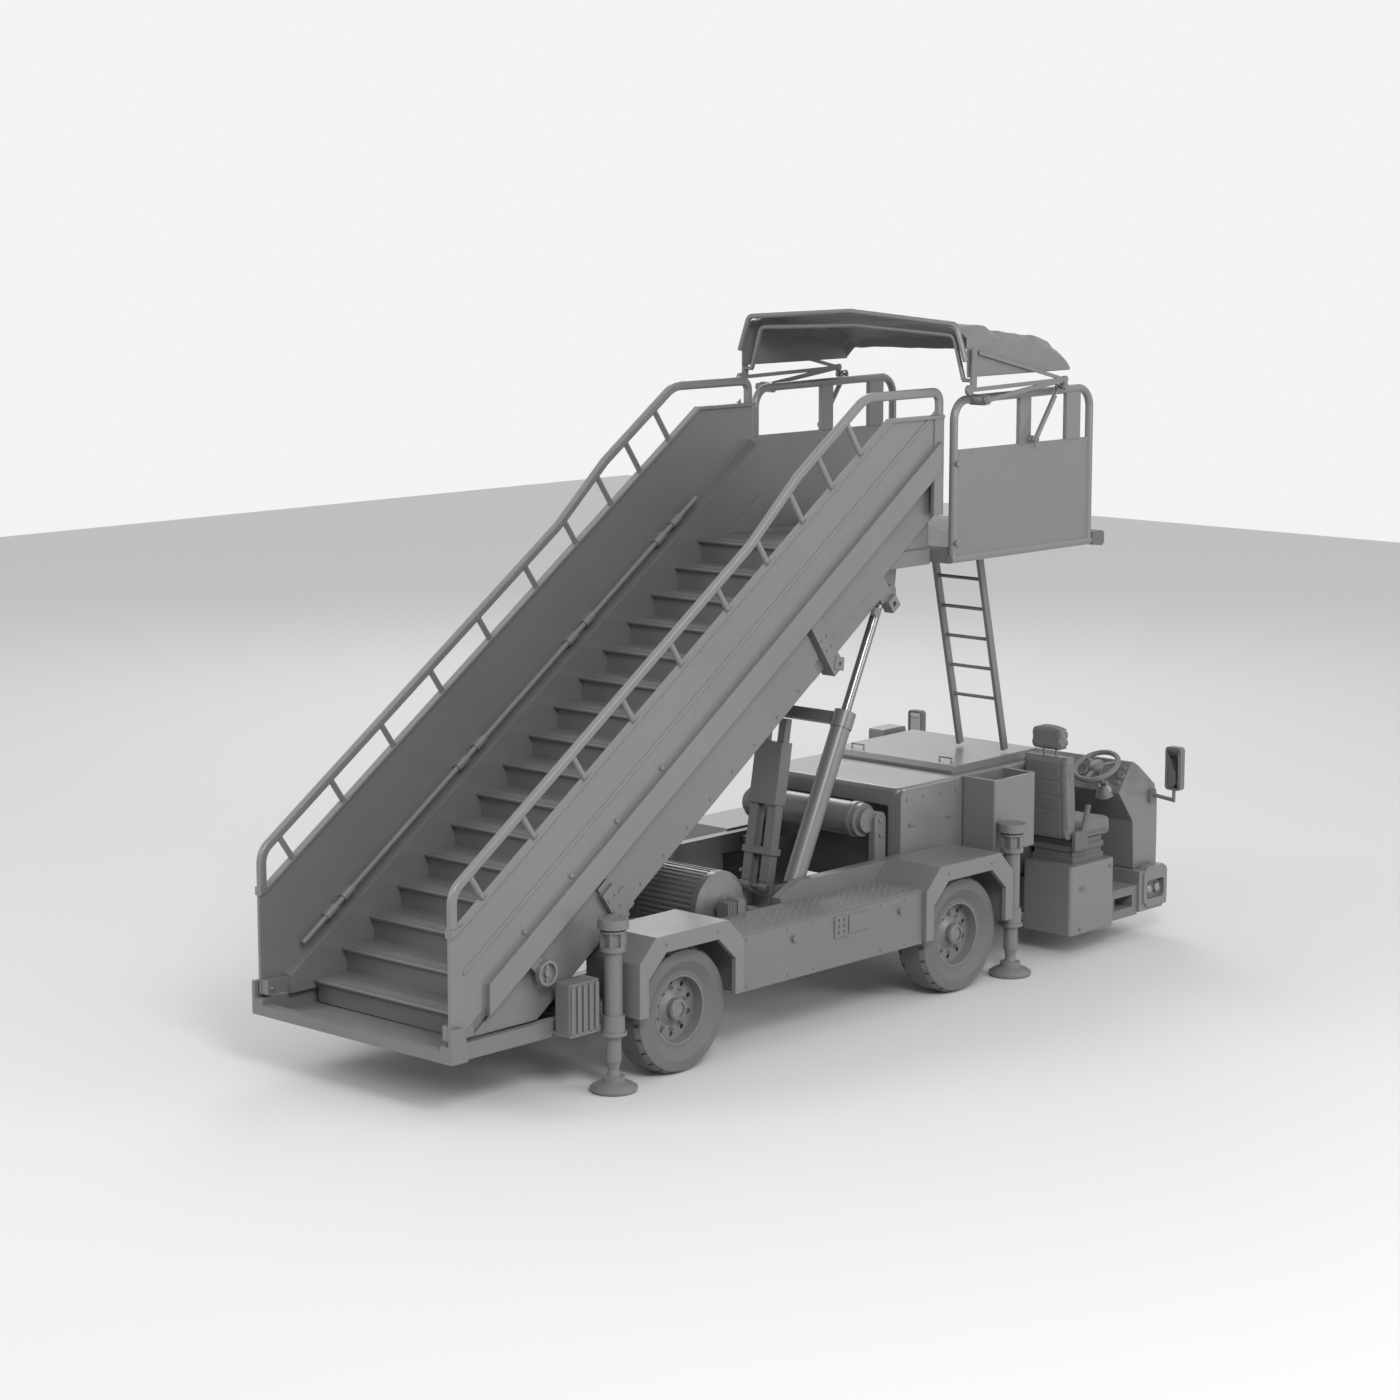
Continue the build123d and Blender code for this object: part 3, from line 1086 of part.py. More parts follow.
# Platform floor: deck plate on a frame, with hinge lugs and the ladder's brackets
deck_half = side_frame_y - frame_tube - fit_gap
deck_low = platform_floor_z - platform_deck
with BuildPart() as platform_floor:
    block(platform_rear_x, platform_front_x, -deck_half, deck_half, deck_low, platform_floor_z)
    for side in SIDES:
        block(platform_rear_x, platform_front_x, side * (deck_half - 60), side * deck_half, platform_low, deck_low + 1)
        block(platform_rear_x, platform_front_x, side * 300, side * 350, platform_low + 20, deck_low + 1)
        slab([(hinge_x + hinge_eye, hinge_z - 20), (platform_rear_x + 20, platform_low), (platform_rear_x + 20, hinge_z + 40),
              (hinge_x + 10, hinge_z + hinge_eye), (hinge_x - 20, hinge_z + 15), (hinge_x - 20, hinge_z - 15),
              (hinge_x, hinge_z - hinge_eye)], side * 605, side * 640)
        bar((hinge_x, side * 606, hinge_z), (hinge_x, side * 690, hinge_z), pivot_radius)
    for cross_x in (platform_rear_x + 30, rear_axle_x + 3800, ladder_top_x, platform_front_x - 30):
        block(cross_x - 30, cross_x + 30, -deck_half + 5, deck_half - 5, platform_low, deck_low + 1)
platform_floor.part.label = "platform_floor"
export_step(platform_floor.part, "parts/platform_floor.step")

# Side frames of the platform: hoop, infill panel, window posts, canopy clamps and strut feet
frame_rear_x = platform_rear_x + 20
frame_front_x = platform_front_x - 20
post_sites = ((rear_axle_x + 4040, rear_axle_x + 4180), (rear_axle_x + 4640, rear_axle_x + 4820))
with BuildPart() as side_frames:
    for side in SIDES:
        y = side * side_frame_y
        bent_tube([(frame_rear_x, y, platform_low + 35), (frame_rear_x, y, side_frame_top),
                   (frame_front_x, y, side_frame_top + 20), (frame_front_x, y, platform_low + 35)],
                  side_frame_bend, radius=frame_tube)
        bar((frame_rear_x - frame_tube, y, platform_low + 35), (frame_front_x + frame_tube, y, platform_low + 35),
            frame_tube)
        block(frame_rear_x, frame_front_x, y - side_panel_sheet / 2, y + side_panel_sheet / 2, platform_low + 35,
              side_panel_top)
        for x0, x1 in post_sites:
            block(x0, x1, y - 18, y + 18, side_panel_top - 5, side_frame_top)
        clamp_y = side * (canopy_arm_y - 25)
        bar((clamp_x, side * (side_frame_y - 5), clamp_z), (clamp_x, clamp_y, clamp_z), 42)
        bar((clamp_x, clamp_y - side * 5, clamp_z), (clamp_x, side * (canopy_arm_y + 20), clamp_z), 16)
        bar((strut_foot_x, side * side_frame_y, strut_foot_z), (strut_foot_x, side * (strut_y - 25), strut_foot_z), 30)
        bar((strut_foot_x, side * side_frame_y, strut_foot_z), (strut_foot_x, side * (strut_y + 22), strut_foot_z), 12)
        block(strut_foot_x - 30, strut_foot_x + 30, y - 18, y + 18, side_panel_top - 5, strut_foot_z + 25)
        for knob_z in (3420, 4020):
            bar((frame_rear_x, side * (side_frame_y + 5), knob_z), (frame_rear_x, side * (side_frame_y + 55), knob_z), 24)
side_frames.part.label = "side_frames"
export_step(side_frames.part, "parts/side_frames.step")

with BuildPart() as platform_bumper:
    pad_front_x = platform_front_x + bumper_pad_length
    slab([(platform_front_x + frame_tube - 20 + fit_gap, platform_low), (pad_front_x - 25, platform_low - 15),
          (pad_front_x, platform_low + 10), (pad_front_x, platform_low + 85), (pad_front_x - 25, platform_low + 105),
          (platform_front_x + frame_tube - 20 + fit_gap, platform_low + 100)],
         -side_frame_y - frame_tube, side_frame_y + frame_tube)
platform_bumper.part.label = "platform_bumper"
export_step(platform_bumper.part, "parts/platform_bumper.step")

# Ladder from the platform down to the hood lid
with BuildPart() as ladder:
    top = Vector(ladder_top_x, 0, platform_low - fit_gap)
    foot = Vector(ladder_foot_x, 0, ladder_foot_z)
    for side in SIDES:
        y = ladder_y + side * ladder_half
        shift = Vector(0, y, 0)
        beam(foot + shift, top + shift - Vector(0, 0, 20), 30, 60)
    for rung in range(5):
        spot = top + (foot - top) * ((rung + 1) * 250 / (foot - top).length)
        bar((spot.X, ladder_y - ladder_half, spot.Z), (spot.X, ladder_y + ladder_half, spot.Z), 14)
    block(ladder_top_x - 45, ladder_top_x + 45, ladder_y - ladder_half - 30, ladder_y + ladder_half + 30,
          platform_low - fit_gap - 30, platform_low - fit_gap)
ladder.part.label = "ladder"
export_step(ladder.part, "parts/ladder.step")

# Canopy arms: a braced arm each side, hinged at the rail clamp, with the strut's upper pin
with BuildPart() as canopy_arms:
    ball = (rear_axle_x + 3240, 4575)
    nose = (strut_top_x - 10, strut_top_z + 55)
    post_foot, post_top = (rear_axle_x + 3290, 4580), (rear_axle_x + 3290, 4880)
    for side in SIDES:
        y = side * canopy_arm_y
        for (x0, z0), (x1, z1), width in (((clamp_x, clamp_z), nose, 34), (ball, nose, 30), (post_foot, post_top, 56),
                                         ((rear_axle_x + 3350, 4850), nose, 26)):
            beam((x0, y, z0), (x1, y, z1), arm_plate, width)
        for (x, z), radius in (((clamp_x, clamp_z), 34), (ball, 38), (nose, 30), ((strut_top_x, strut_top_z), 26)):
            bar((x, y - side * 14, z), (x, y + side * 14, z), radius)
        beam((nose[0], y, nose[1]), (strut_top_x, y, strut_top_z), arm_plate, 40)
        bar((strut_top_x, y, strut_top_z), (strut_top_x, side * (strut_y - 22), strut_top_z), 12)
        bar((clamp_x, side * (canopy_arm_y - 16), clamp_z), (clamp_x, side * (canopy_arm_y + 30), clamp_z),
            16 + bearing_gap, mode=Mode.SUBTRACT)
canopy_arms.part.label = "canopy_arms"
export_step(canopy_arms.part, "parts/canopy_arms.step")

# Canopy hoops: the rear rim and a second hoop inside it
with BuildPart() as canopy_hoops:
    rim_tube, hoop_tube = 22, 18
    for x, half, low, shoulder, ridge, radius in (
            (canopy_rear_x - rim_tube - fit_gap, 1130, 4790, 5060, 5130, rim_tube),
            (hoop_x, 1060, 4650, 4975, 5020, hoop_tube)):
        bent_tube([(x, -half, low), (x, -half + 95, shoulder), (x, 0, ridge), (x, half - 95, shoulder), (x, half, low)],
                  60, radius=radius)
    # Feet of the second hoop, bolted to the arms below the cover's edge
    for side in SIDES:
        bar((hoop_x, side * 1055, 4645), (hoop_x, side * (canopy_arm_y - arm_plate / 2 - fit_gap), 4645), 14)
canopy_hoops.part.label = "canopy_hoops"
export_step(canopy_hoops.part, "parts/canopy_hoops.step")

# Canopy cover: a gabled skin that falls towards the front, open at both ends and below
# Columns: X from the rear axle, height of the eaves, height of the ridge
cover_sections = ((canopy_rear_x - rear_axle_x, 5058, 5125), (3560, 5045, 5110), (3850, 4985, 5050), (4170, 4955, 5010),
                  (4450, 4850, 4900), (4520, 4775, 4800))
eaves_round = 85
with BuildPart() as canopy_cover:
    skins = []
    for x, eaves, ridge in cover_sections:
        inner_y = canopy_side - canopy_shell
        rim = [(canopy_side, canopy_low), (canopy_side, eaves - eaves_round), (canopy_side - eaves_round, eaves)]
        lining = [(inner_y, canopy_low), (inner_y, eaves - eaves_round - 8),
                  (inner_y - eaves_round + 8, eaves - canopy_shell)]
        band = [(-y, z) for y, z in rim] + [(0, ridge)] + rim[::-1]
        band += lining + [(0, ridge - canopy_shell)] + [(-y, z) for y, z in lining[::-1]]
        with BuildSketch(Plane(origin=(rear_axle_x + x, 0, 0), x_dir=(0, 1, 0), z_dir=(1, 0, 0))) as rib:
            with BuildLine():
                Polyline(*band, close=True)
            make_face()
        skins.append(rib.sketch.faces()[0])
    loft(skins, ruled=True)
canopy_cover.part.label = "canopy_cover"
export_step(canopy_cover.part, "parts/canopy_cover.step")

# Canopy struts: a barrel on the side frame and a rod from the canopy arm
strut_dir = Vector(strut_top_x - strut_foot_x, 0, strut_top_z - strut_foot_z)
strut_unit = strut_dir * (1 / strut_dir.length)
with BuildPart() as strut_barrels:
    for side in SIDES:
        foot = Vector(strut_foot_x, side * strut_y, strut_foot_z)
        bar(foot, foot + strut_unit * 400, 20)
        bar(foot + strut_unit * 60, foot + strut_unit * 401, strut_rod_radius + running_gap, mode=Mode.SUBTRACT)
        bar((foot.X, side * (strut_y - 18), foot.Z), (foot.X, side * (strut_y + 18), foot.Z), 26)
        bar((foot.X, side * (strut_y - 20), foot.Z), (foot.X, side * (strut_y + 24), foot.Z), 12 + bearing_gap,
            mode=Mode.SUBTRACT)
strut_barrels.part.label = "strut_barrels"
export_step(strut_barrels.part, "parts/strut_barrels.step")

with BuildPart() as strut_rods:
    for side in SIDES:
        top = Vector(strut_top_x, side * strut_y, strut_top_z)
        bar(top - strut_unit * 410, top - strut_unit * 30, strut_rod_radius)
        bar((top.X, side * (strut_y - 12), top.Z), (top.X, side * (strut_y + 12), top.Z), 38)
        bar((top.X, side * (strut_y - 14), top.Z), (top.X, side * (strut_y + 14), top.Z), 27, mode=Mode.SUBTRACT)
strut_rods.part.label = "strut_rods"
export_step(strut_rods.part, "parts/strut_rods.step")

# Lift cylinders: barrels joined by a crossbar, and their rods
lift_dir = Vector(cylinder_eye_x - cylinder_foot_x, 0, cylinder_eye_z - cylinder_foot_z)
lift_unit = lift_dir * (1 / lift_dir.length)
with BuildPart() as lift_barrels:
    for side in SIDES:
        foot = Vector(cylinder_foot_x, side * cylinder_y, cylinder_foot_z)
        bar(foot + lift_unit * 70, foot + lift_unit * barrel_length, barrel_radius)
        bar(foot + lift_unit * (barrel_length - 130), foot + lift_unit * barrel_length, barrel_radius + 8)
        bar((foot.X, side * (cylinder_y - 45), foot.Z), (foot.X, side * (cylinder_y + 45), foot.Z), 62)
        beam(foot, foot + lift_unit * 90, 80, 100)
        bar(foot + lift_unit * 110, foot + lift_unit * (barrel_length + 1), lift_rod_radius + running_gap,
            mode=Mode.SUBTRACT)
        bar((foot.X, side * (cylinder_y - 50), foot.Z), (foot.X, side * (cylinder_y + 50), foot.Z),
            cylinder_pin_radius + bearing_gap, mode=Mode.SUBTRACT)
        port = foot + lift_unit * 150 + Vector(0.903, 0, -0.430) * (barrel_radius + 10)
        bar(port, port + lift_unit * 780, 12)
        for along in (0, 770):
            beam(port + lift_unit * along - Vector(0.903, 0, -0.430) * 20, port + lift_unit * along, 20, 24)
    spot = Vector(cylinder_foot_x, 0, cylinder_foot_z) + lift_unit * crossbar_at
    with Locations(Plane(origin=spot, x_dir=lift_unit, z_dir=(0, 1, 0))):
        Box(90, 60, 2 * (cylinder_y - barrel_radius - 8 - fit_gap))
lift_barrels.part.label = "lift_barrels"
export_step(lift_barrels.part, "parts/lift_barrels.step")

with BuildPart() as lift_rods:
    for side in SIDES:
        eye = Vector(cylinder_eye_x, side * cylinder_y, cylinder_eye_z)
        bar(eye - lift_unit * (lift_dir.length - barrel_length + lift_rod_inside), eye - lift_unit * 30, lift_rod_radius)
        bar((eye.X, side * (cylinder_y - 32), eye.Z), (eye.X, side * (cylinder_y + 32), eye.Z), 56)
        bar((eye.X, side * (cylinder_y - 90), eye.Z), (eye.X, side * (cylinder_y + 90), eye.Z), lift_pin_radius)
        for cap_y in (-90, 72):
            bar((eye.X, side * (cylinder_y + cap_y), eye.Z), (eye.X, side * (cylinder_y + cap_y + 18), eye.Z), 52)
lift_rods.part.label = "lift_rods"
export_step(lift_rods.part, "parts/lift_rods.step")

# Props between the cylinders: two square legs with a clamp band and a sleeve, and inner tubes
bar_mid = Vector(cylinder_foot_x, 0, cylinder_foot_z) + lift_unit * crossbar_at
prop_base = Vector(prop_foot_x, 0, prop_foot_z)
prop_dir = bar_mid - prop_base
prop_unit = prop_dir * (1 / prop_dir.length)
with BuildPart() as prop_lower:
    for side in SIDES:
        foot = prop_base + Vector(0, side * prop_y, 0)
        beam(foot + prop_unit * 40, foot + prop_unit * prop_length, prop_leg, prop_leg)
        bar((foot.X, foot.Y - prop_leg / 2, foot.Z), (foot.X, foot.Y + prop_leg / 2, foot.Z), 48)
        beam(foot + prop_unit * 10, foot + prop_unit * 60, prop_leg - 6, 70)
        beam(foot + prop_unit * 130, foot + prop_unit * prop_length, prop_leg - 2 * prop_wall,
             prop_leg - 2 * prop_wall, mode=Mode.SUBTRACT)
        bar((foot.X, foot.Y - prop_leg / 2 - 2, foot.Z), (foot.X, foot.Y + prop_leg / 2 + 2, foot.Z),
            prop_pin_radius + bearing_gap, mode=Mode.SUBTRACT)
    beam(prop_base + prop_unit * 250, prop_base + prop_unit * 300, 2 * prop_y + prop_leg + 30, prop_leg + 30)
    for side in SIDES:
        foot = prop_base + Vector(0, side * prop_y, 0)
        beam(foot + prop_unit * 240, foot + prop_unit * 310, prop_leg - 2 * prop_wall, prop_leg - 2 * prop_wall,
             mode=Mode.SUBTRACT)
prop_lower.part.label = "prop_lower"
export_step(prop_lower.part, "parts/prop_lower.step")

with BuildPart() as prop_upper:
    inner_leg = prop_leg - 2 * prop_wall - 2 * running_gap
    for side in SIDES:
        foot = prop_base + Vector(0, side * prop_y, 0)
        beam(foot + prop_unit * 330, foot + prop_unit * (prop_dir.length - 58), inner_leg, inner_leg)
    sleeve_low_at = prop_length + 15
    beam(prop_base + prop_unit * sleeve_low_at, prop_base + prop_unit * (prop_dir.length - 240),
         2 * prop_y + prop_leg, prop_sleeve)
prop_upper.part.label = "prop_upper"
export_step(prop_upper.part, "parts/prop_upper.step")
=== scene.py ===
import json
import math

import bmesh
import bpy
from mathutils import Matrix, Vector, noise
from mathutils.bvhtree import BVHTree


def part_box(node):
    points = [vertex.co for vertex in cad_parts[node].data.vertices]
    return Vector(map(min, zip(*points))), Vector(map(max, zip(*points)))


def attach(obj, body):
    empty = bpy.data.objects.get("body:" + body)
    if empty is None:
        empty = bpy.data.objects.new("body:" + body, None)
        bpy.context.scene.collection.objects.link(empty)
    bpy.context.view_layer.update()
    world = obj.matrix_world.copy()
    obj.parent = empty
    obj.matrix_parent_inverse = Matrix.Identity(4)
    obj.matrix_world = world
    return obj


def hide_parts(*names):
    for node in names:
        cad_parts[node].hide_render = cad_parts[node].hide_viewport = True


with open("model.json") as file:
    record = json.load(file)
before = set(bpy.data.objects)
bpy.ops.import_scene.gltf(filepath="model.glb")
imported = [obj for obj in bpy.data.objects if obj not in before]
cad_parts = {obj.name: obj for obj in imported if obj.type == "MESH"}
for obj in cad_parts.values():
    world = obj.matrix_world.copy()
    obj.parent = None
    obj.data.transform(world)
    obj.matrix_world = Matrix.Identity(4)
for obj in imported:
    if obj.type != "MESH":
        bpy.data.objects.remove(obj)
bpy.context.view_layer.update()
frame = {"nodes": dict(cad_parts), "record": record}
nodes = frame["nodes"]
slotOf = {part["node"]: part["material_slot"] for part in frame["record"]["subparts"]}
bothSides = (-1, 1)  # right, then left
print("frame loaded:", len(nodes), "nodes")


# Camera at the angle of the photograph
view = {"place": (-18.24884, -16.40308, 6.25069), "yaw": 42.62, "pitch": -9.23, "lens": 85}
cameraData = bpy.data.cameras.new("camera")
cameraData.lens = view["lens"]
cameraData.sensor_width = 36
camera = bpy.data.objects.new("camera", cameraData)
bpy.context.collection.objects.link(camera)
yaw, pitch = math.radians(view["yaw"]), math.radians(view["pitch"])
aim = Vector((math.cos(yaw) * math.cos(pitch), math.sin(yaw) * math.cos(pitch), math.sin(pitch)))
camera.location = view["place"]
camera.rotation_euler = aim.to_track_quat("-Z", "Y").to_euler()
bpy.context.scene.camera = camera
bpy.context.scene.view_settings.view_transform = "Standard"


# Small helpers for node trees
def newNode(tree, kind, x=0, y=0, **settings):
    made = tree.nodes.new(kind)
    made.location = (x, y)
    for name, value in settings.items():
        setattr(made, name, value)
    return made


def setValues(made, **values):
    for label, value in values.items():
        made.inputs[label.replace("_", " ")].default_value = value
    return made


def join(tree, output, target):
    tree.links.new(output, target)


def mathNode(tree, operation, first, second=None, x=0, y=0, clamp=False):
    made = newNode(tree, "ShaderNodeMath", x, y, operation=operation, use_clamp=clamp)
    for place, value in enumerate((first, second)):
        if value is None:
            continue
        if isinstance(value, (int, float)):
            made.inputs[place].default_value = value
        else:
            join(tree, value, made.inputs[place])
    return made.outputs[0]


def newGroup(name, inputs, outputs):
    tree = bpy.data.node_groups.new(name, "ShaderNodeTree")
    for label, kind, value in inputs:
        socket = tree.interface.new_socket(name=label, in_out="INPUT", socket_type=kind)
        socket.default_value = value
    for label, kind in outputs:
        tree.interface.new_socket(name=label, in_out="OUTPUT", socket_type=kind)
    return tree, newNode(tree, "NodeGroupInput", -1000), newNode(tree, "NodeGroupOutput", 900)


number, vector = "NodeSocketFloat", "NodeSocketVector"


paintLook = {"fineGrain": 0.12}


# Uneven paint: a slow ripple, a fine grain and blotches of tone
def buildPaintGrain():
    tree, given, out = newGroup("paintGrain", [("Grain Size", number, 260), ("Ripple Size", number, 9),
                                               ("Ripple", number, 0.5), ("Blotch Size", number, 1.6)],
                                [("Height", number), ("Tone", number)])
    place = newNode(tree, "ShaderNodeTexCoord", -800)
    grain = newNode(tree, "ShaderNodeTexNoise", -500, 200)
    ripple = newNode(tree, "ShaderNodeTexNoise", -500, 0)
    blotch = newNode(tree, "ShaderNodeTexNoise", -500, -200)
    uses = ((grain, "Grain Size", 2), (ripple, "Ripple Size", 3), (blotch, "Blotch Size", 5))
    for texture, socket, detail in uses:
        join(tree, place.outputs["Object"], texture.inputs["Vector"])
        join(tree, given.outputs[socket], texture.inputs["Scale"])
        setValues(texture, Detail=detail)
    wave = mathNode(tree, "MULTIPLY", ripple.outputs["Fac"], given.outputs["Ripple"], -200, 0)
    fine = mathNode(tree, "MULTIPLY", grain.outputs["Fac"], paintLook["fineGrain"], -200, 200)
    join(tree, mathNode(tree, "ADD", wave, fine, 100, 100), out.inputs["Height"])
    join(tree, blotch.outputs["Fac"], out.inputs["Tone"])
    return tree


wearLook = {"gain": 9, "breakFrom": 0.42, "breakTo": 0.62, "detail": 6}


# Softened edges and the worn mask along them
def buildEdgeWear():
    tree, given, out = newGroup("edgeWear", [("Radius", number, 0.004), ("Break Size", number, 40),
                                             ("Amount", number, 0.6)],
                                [("Mask", number), ("Normal", vector)])
    place = newNode(tree, "ShaderNodeTexCoord", -800)
    shape = newNode(tree, "ShaderNodeNewGeometry", -800, -300)
    soft = newNode(tree, "ShaderNodeBevel", -800, 300, samples=4)
    join(tree, given.outputs["Radius"], soft.inputs["Radius"])
    facing = newNode(tree, "ShaderNodeVectorMath", -500, 100, operation="DOT_PRODUCT")
    join(tree, soft.outputs["Normal"], facing.inputs[0])
    join(tree, shape.outputs["Normal"], facing.inputs[1])
    edge = mathNode(tree, "SUBTRACT", 1, facing.outputs["Value"], -300, 100, clamp=True)
    edge = mathNode(tree, "MULTIPLY", edge, wearLook["gain"], -150, 100, clamp=True)
    breaks = newNode(tree, "ShaderNodeTexNoise", -500, -200)
    join(tree, place.outputs["Object"], breaks.inputs["Vector"])
    join(tree, given.outputs["Break Size"], breaks.inputs["Scale"])
    setValues(breaks, Detail=wearLook["detail"])
    broken = newNode(tree, "ShaderNodeMapRange", -200, -200)
    setValues(broken, From_Min=wearLook["breakFrom"], From_Max=wearLook["breakTo"])
    join(tree, breaks.outputs["Fac"], broken.inputs["Value"])
    worn = mathNode(tree, "MULTIPLY", edge, broken.outputs["Result"], 100, 0)
    join(tree, mathNode(tree, "MULTIPLY", worn, given.outputs["Amount"], 300, 0), out.inputs["Mask"])
    join(tree, soft.outputs["Normal"], out.inputs["Normal"])
    return tree


dustLook = {"levelFrom": 0.75, "cloudSize": 7, "cloudDetail": 8, "patches": 1.7}


# Dust that settles on level faces and is thrown up near the ground
def buildDust():
    tree, given, out = newGroup("dust", [("Splash Height", number, 0.9), ("Splash", number, 0.5),
                                         ("Settled", number, 0.2)], [("Mask", number)])
    place = newNode(tree, "ShaderNodeTexCoord", -800)
    shape = newNode(tree, "ShaderNodeNewGeometry", -800, -300)
    split = newNode(tree, "ShaderNodeSeparateXYZ", -600)
    join(tree, place.outputs["Object"], split.inputs[0])
    low = newNode(tree, "ShaderNodeMapRange", -400, 100)
    setValues(low, From_Min=0, To_Min=1, To_Max=0)
    join(tree, split.outputs["Z"], low.inputs["Value"])
    join(tree, given.outputs["Splash Height"], low.inputs["From Max"])
    up = newNode(tree, "ShaderNodeSeparateXYZ", -600, -300)
    join(tree, shape.outputs["Normal"], up.inputs[0])
    level = newNode(tree, "ShaderNodeMapRange", -400, -300)
    setValues(level, From_Min=dustLook["levelFrom"], From_Max=1)
    join(tree, up.outputs["Z"], level.inputs["Value"])
    clouds = newNode(tree, "ShaderNodeTexNoise", -600, -550)
    setValues(clouds, Scale=dustLook["cloudSize"], Detail=dustLook["cloudDetail"])
    join(tree, place.outputs["Object"], clouds.inputs["Vector"])
    thrown = mathNode(tree, "MULTIPLY", low.outputs["Result"], given.outputs["Splash"], -150, 100)
    lying = mathNode(tree, "MULTIPLY", level.outputs["Result"], given.outputs["Settled"], -150, -200)
    both = mathNode(tree, "ADD", thrown, lying, 50, 0, clamp=True)
    patchy = mathNode(tree, "MULTIPLY", clouds.outputs["Fac"], dustLook["patches"], 50, -300)
    join(tree, mathNode(tree, "MULTIPLY", both, patchy, 300, 0, clamp=True), out.inputs["Mask"])
    return tree


plateLook = {"level": 0.8, "narrow": 2.6, "reach": 0.36, "steep": 9}


# Raised lozenges of tread plate, seen only on faces that look up
def buildTreadPlate():
    tree, given, out = newGroup("treadPlate", [("Pitch", number, 34)], [("Height", number)])
    place = newNode(tree, "ShaderNodeTexCoord", -900)
    shape = newNode(tree, "ShaderNodeNewGeometry", -900, -300)
    up = newNode(tree, "ShaderNodeSeparateXYZ", -700, -300)
    join(tree, shape.outputs["Normal"], up.inputs[0])
    flat = mathNode(tree, "GREATER_THAN", up.outputs["Z"], plateLook["level"], -500, -300)
    bars = []
    for turn in (45, -45):
        spin = newNode(tree, "ShaderNodeMapping", -700, turn * 5)
        setValues(spin, Rotation=(0, 0, math.radians(turn)))
        join(tree, place.outputs["Object"], spin.inputs["Vector"])
        scaled = newNode(tree, "ShaderNodeVectorMath", -500, turn * 5, operation="SCALE")
        join(tree, spin.outputs["Vector"], scaled.inputs[0])
        join(tree, given.outputs["Pitch"], scaled.inputs["Scale"])
        parts = newNode(tree, "ShaderNodeSeparateXYZ", -300, turn * 5)
        join(tree, scaled.outputs["Vector"], parts.inputs[0])
        shift = 0 if turn > 0 else 0.5
        across, alongBar = [mathNode(tree, "PINGPONG", mathNode(tree, "ADD", parts.outputs[axis], shift), 0.5,
                                     -100, turn * line) for axis, line in (("X", 5), ("Y", 4))]
        across = mathNode(tree, "MULTIPLY", across, plateLook["narrow"], 0, turn * 5)
        reach = mathNode(tree, "MAXIMUM", across, alongBar, 100, turn * 5)
        left = mathNode(tree, "SUBTRACT", plateLook["reach"], reach)
        bars.append(mathNode(tree, "MULTIPLY", left, plateLook["steep"], 200, turn * 5, clamp=True))
    both = mathNode(tree, "MAXIMUM", bars[0], bars[1], 400)
    join(tree, mathNode(tree, "MULTIPLY", both, flat, 600), out.inputs["Height"])
    return tree


weaveLook = {"distortion": 0.6, "slubSize": 60}


# Threads of coated cloth
def buildWeave():
    tree, given, out = newGroup("weave", [("Threads", number, 420), ("Slub", number, 0.4)],
                                [("Height", number), ("Tone", number)])
    place = newNode(tree, "ShaderNodeTexCoord", -800)
    threads = []
    for turn, direction in enumerate(("X", "Y")):
        wave = newNode(tree, "ShaderNodeTexWave", -500, 200 * turn, bands_direction=direction)
        join(tree, place.outputs["Object"], wave.inputs["Vector"])
        join(tree, given.outputs["Threads"], wave.inputs["Scale"])
        setValues(wave, Distortion=weaveLook["distortion"])
        threads.append(wave.outputs["Fac"])
    slub = newNode(tree, "ShaderNodeTexNoise", -500, -250)
    setValues(slub, Scale=weaveLook["slubSize"])
    join(tree, place.outputs["Object"], slub.inputs["Vector"])
    crossed = mathNode(tree, "MAXIMUM", threads[0], threads[1], -200, 100)
    uneven = mathNode(tree, "MULTIPLY", slub.outputs["Fac"], given.outputs["Slub"], -200, -200)
    join(tree, mathNode(tree, "ADD", crossed, uneven, 0, 0), out.inputs["Height"])
    join(tree, slub.outputs["Fac"], out.inputs["Tone"])
    return tree


pebbleLook = {"detail": 7, "distortion": 0.8, "creaseHeight": 1.4}


# Pebbled skin of leather and of moulded plastic
def buildPebble():
    tree, given, out = newGroup("pebble", [("Pebbles", number, 420), ("Creases", number, 14)],
                                [("Height", number), ("Tone", number)])
    place = newNode(tree, "ShaderNodeTexCoord", -800)
    cells = newNode(tree, "ShaderNodeTexVoronoi", -500, 200, feature="SMOOTH_F1")
    creases = newNode(tree, "ShaderNodeTexNoise", -500, -100)
    for texture, socket in ((cells, "Pebbles"), (creases, "Creases")):
        join(tree, place.outputs["Object"], texture.inputs["Vector"])
        join(tree, given.outputs[socket], texture.inputs["Scale"])
    setValues(creases, Detail=pebbleLook["detail"], Distortion=pebbleLook["distortion"])
    soft = mathNode(tree, "MULTIPLY", creases.outputs["Fac"], pebbleLook["creaseHeight"], -200, -100)
    join(tree, mathNode(tree, "ADD", cells.outputs["Distance"], soft, 0, 0), out.inputs["Height"])
    join(tree, creases.outputs["Fac"], out.inputs["Tone"])
    return tree


groups = {"paintGrain": buildPaintGrain(), "edgeWear": buildEdgeWear(), "dust": buildDust(),
          "treadPlate": buildTreadPlate(), "weave": buildWeave(), "pebble": buildPebble()}


def useGroup(tree, name, x, y, **values):
    return setValues(newNode(tree, "ShaderNodeGroup", x, y, node_tree=groups[name]), **values)


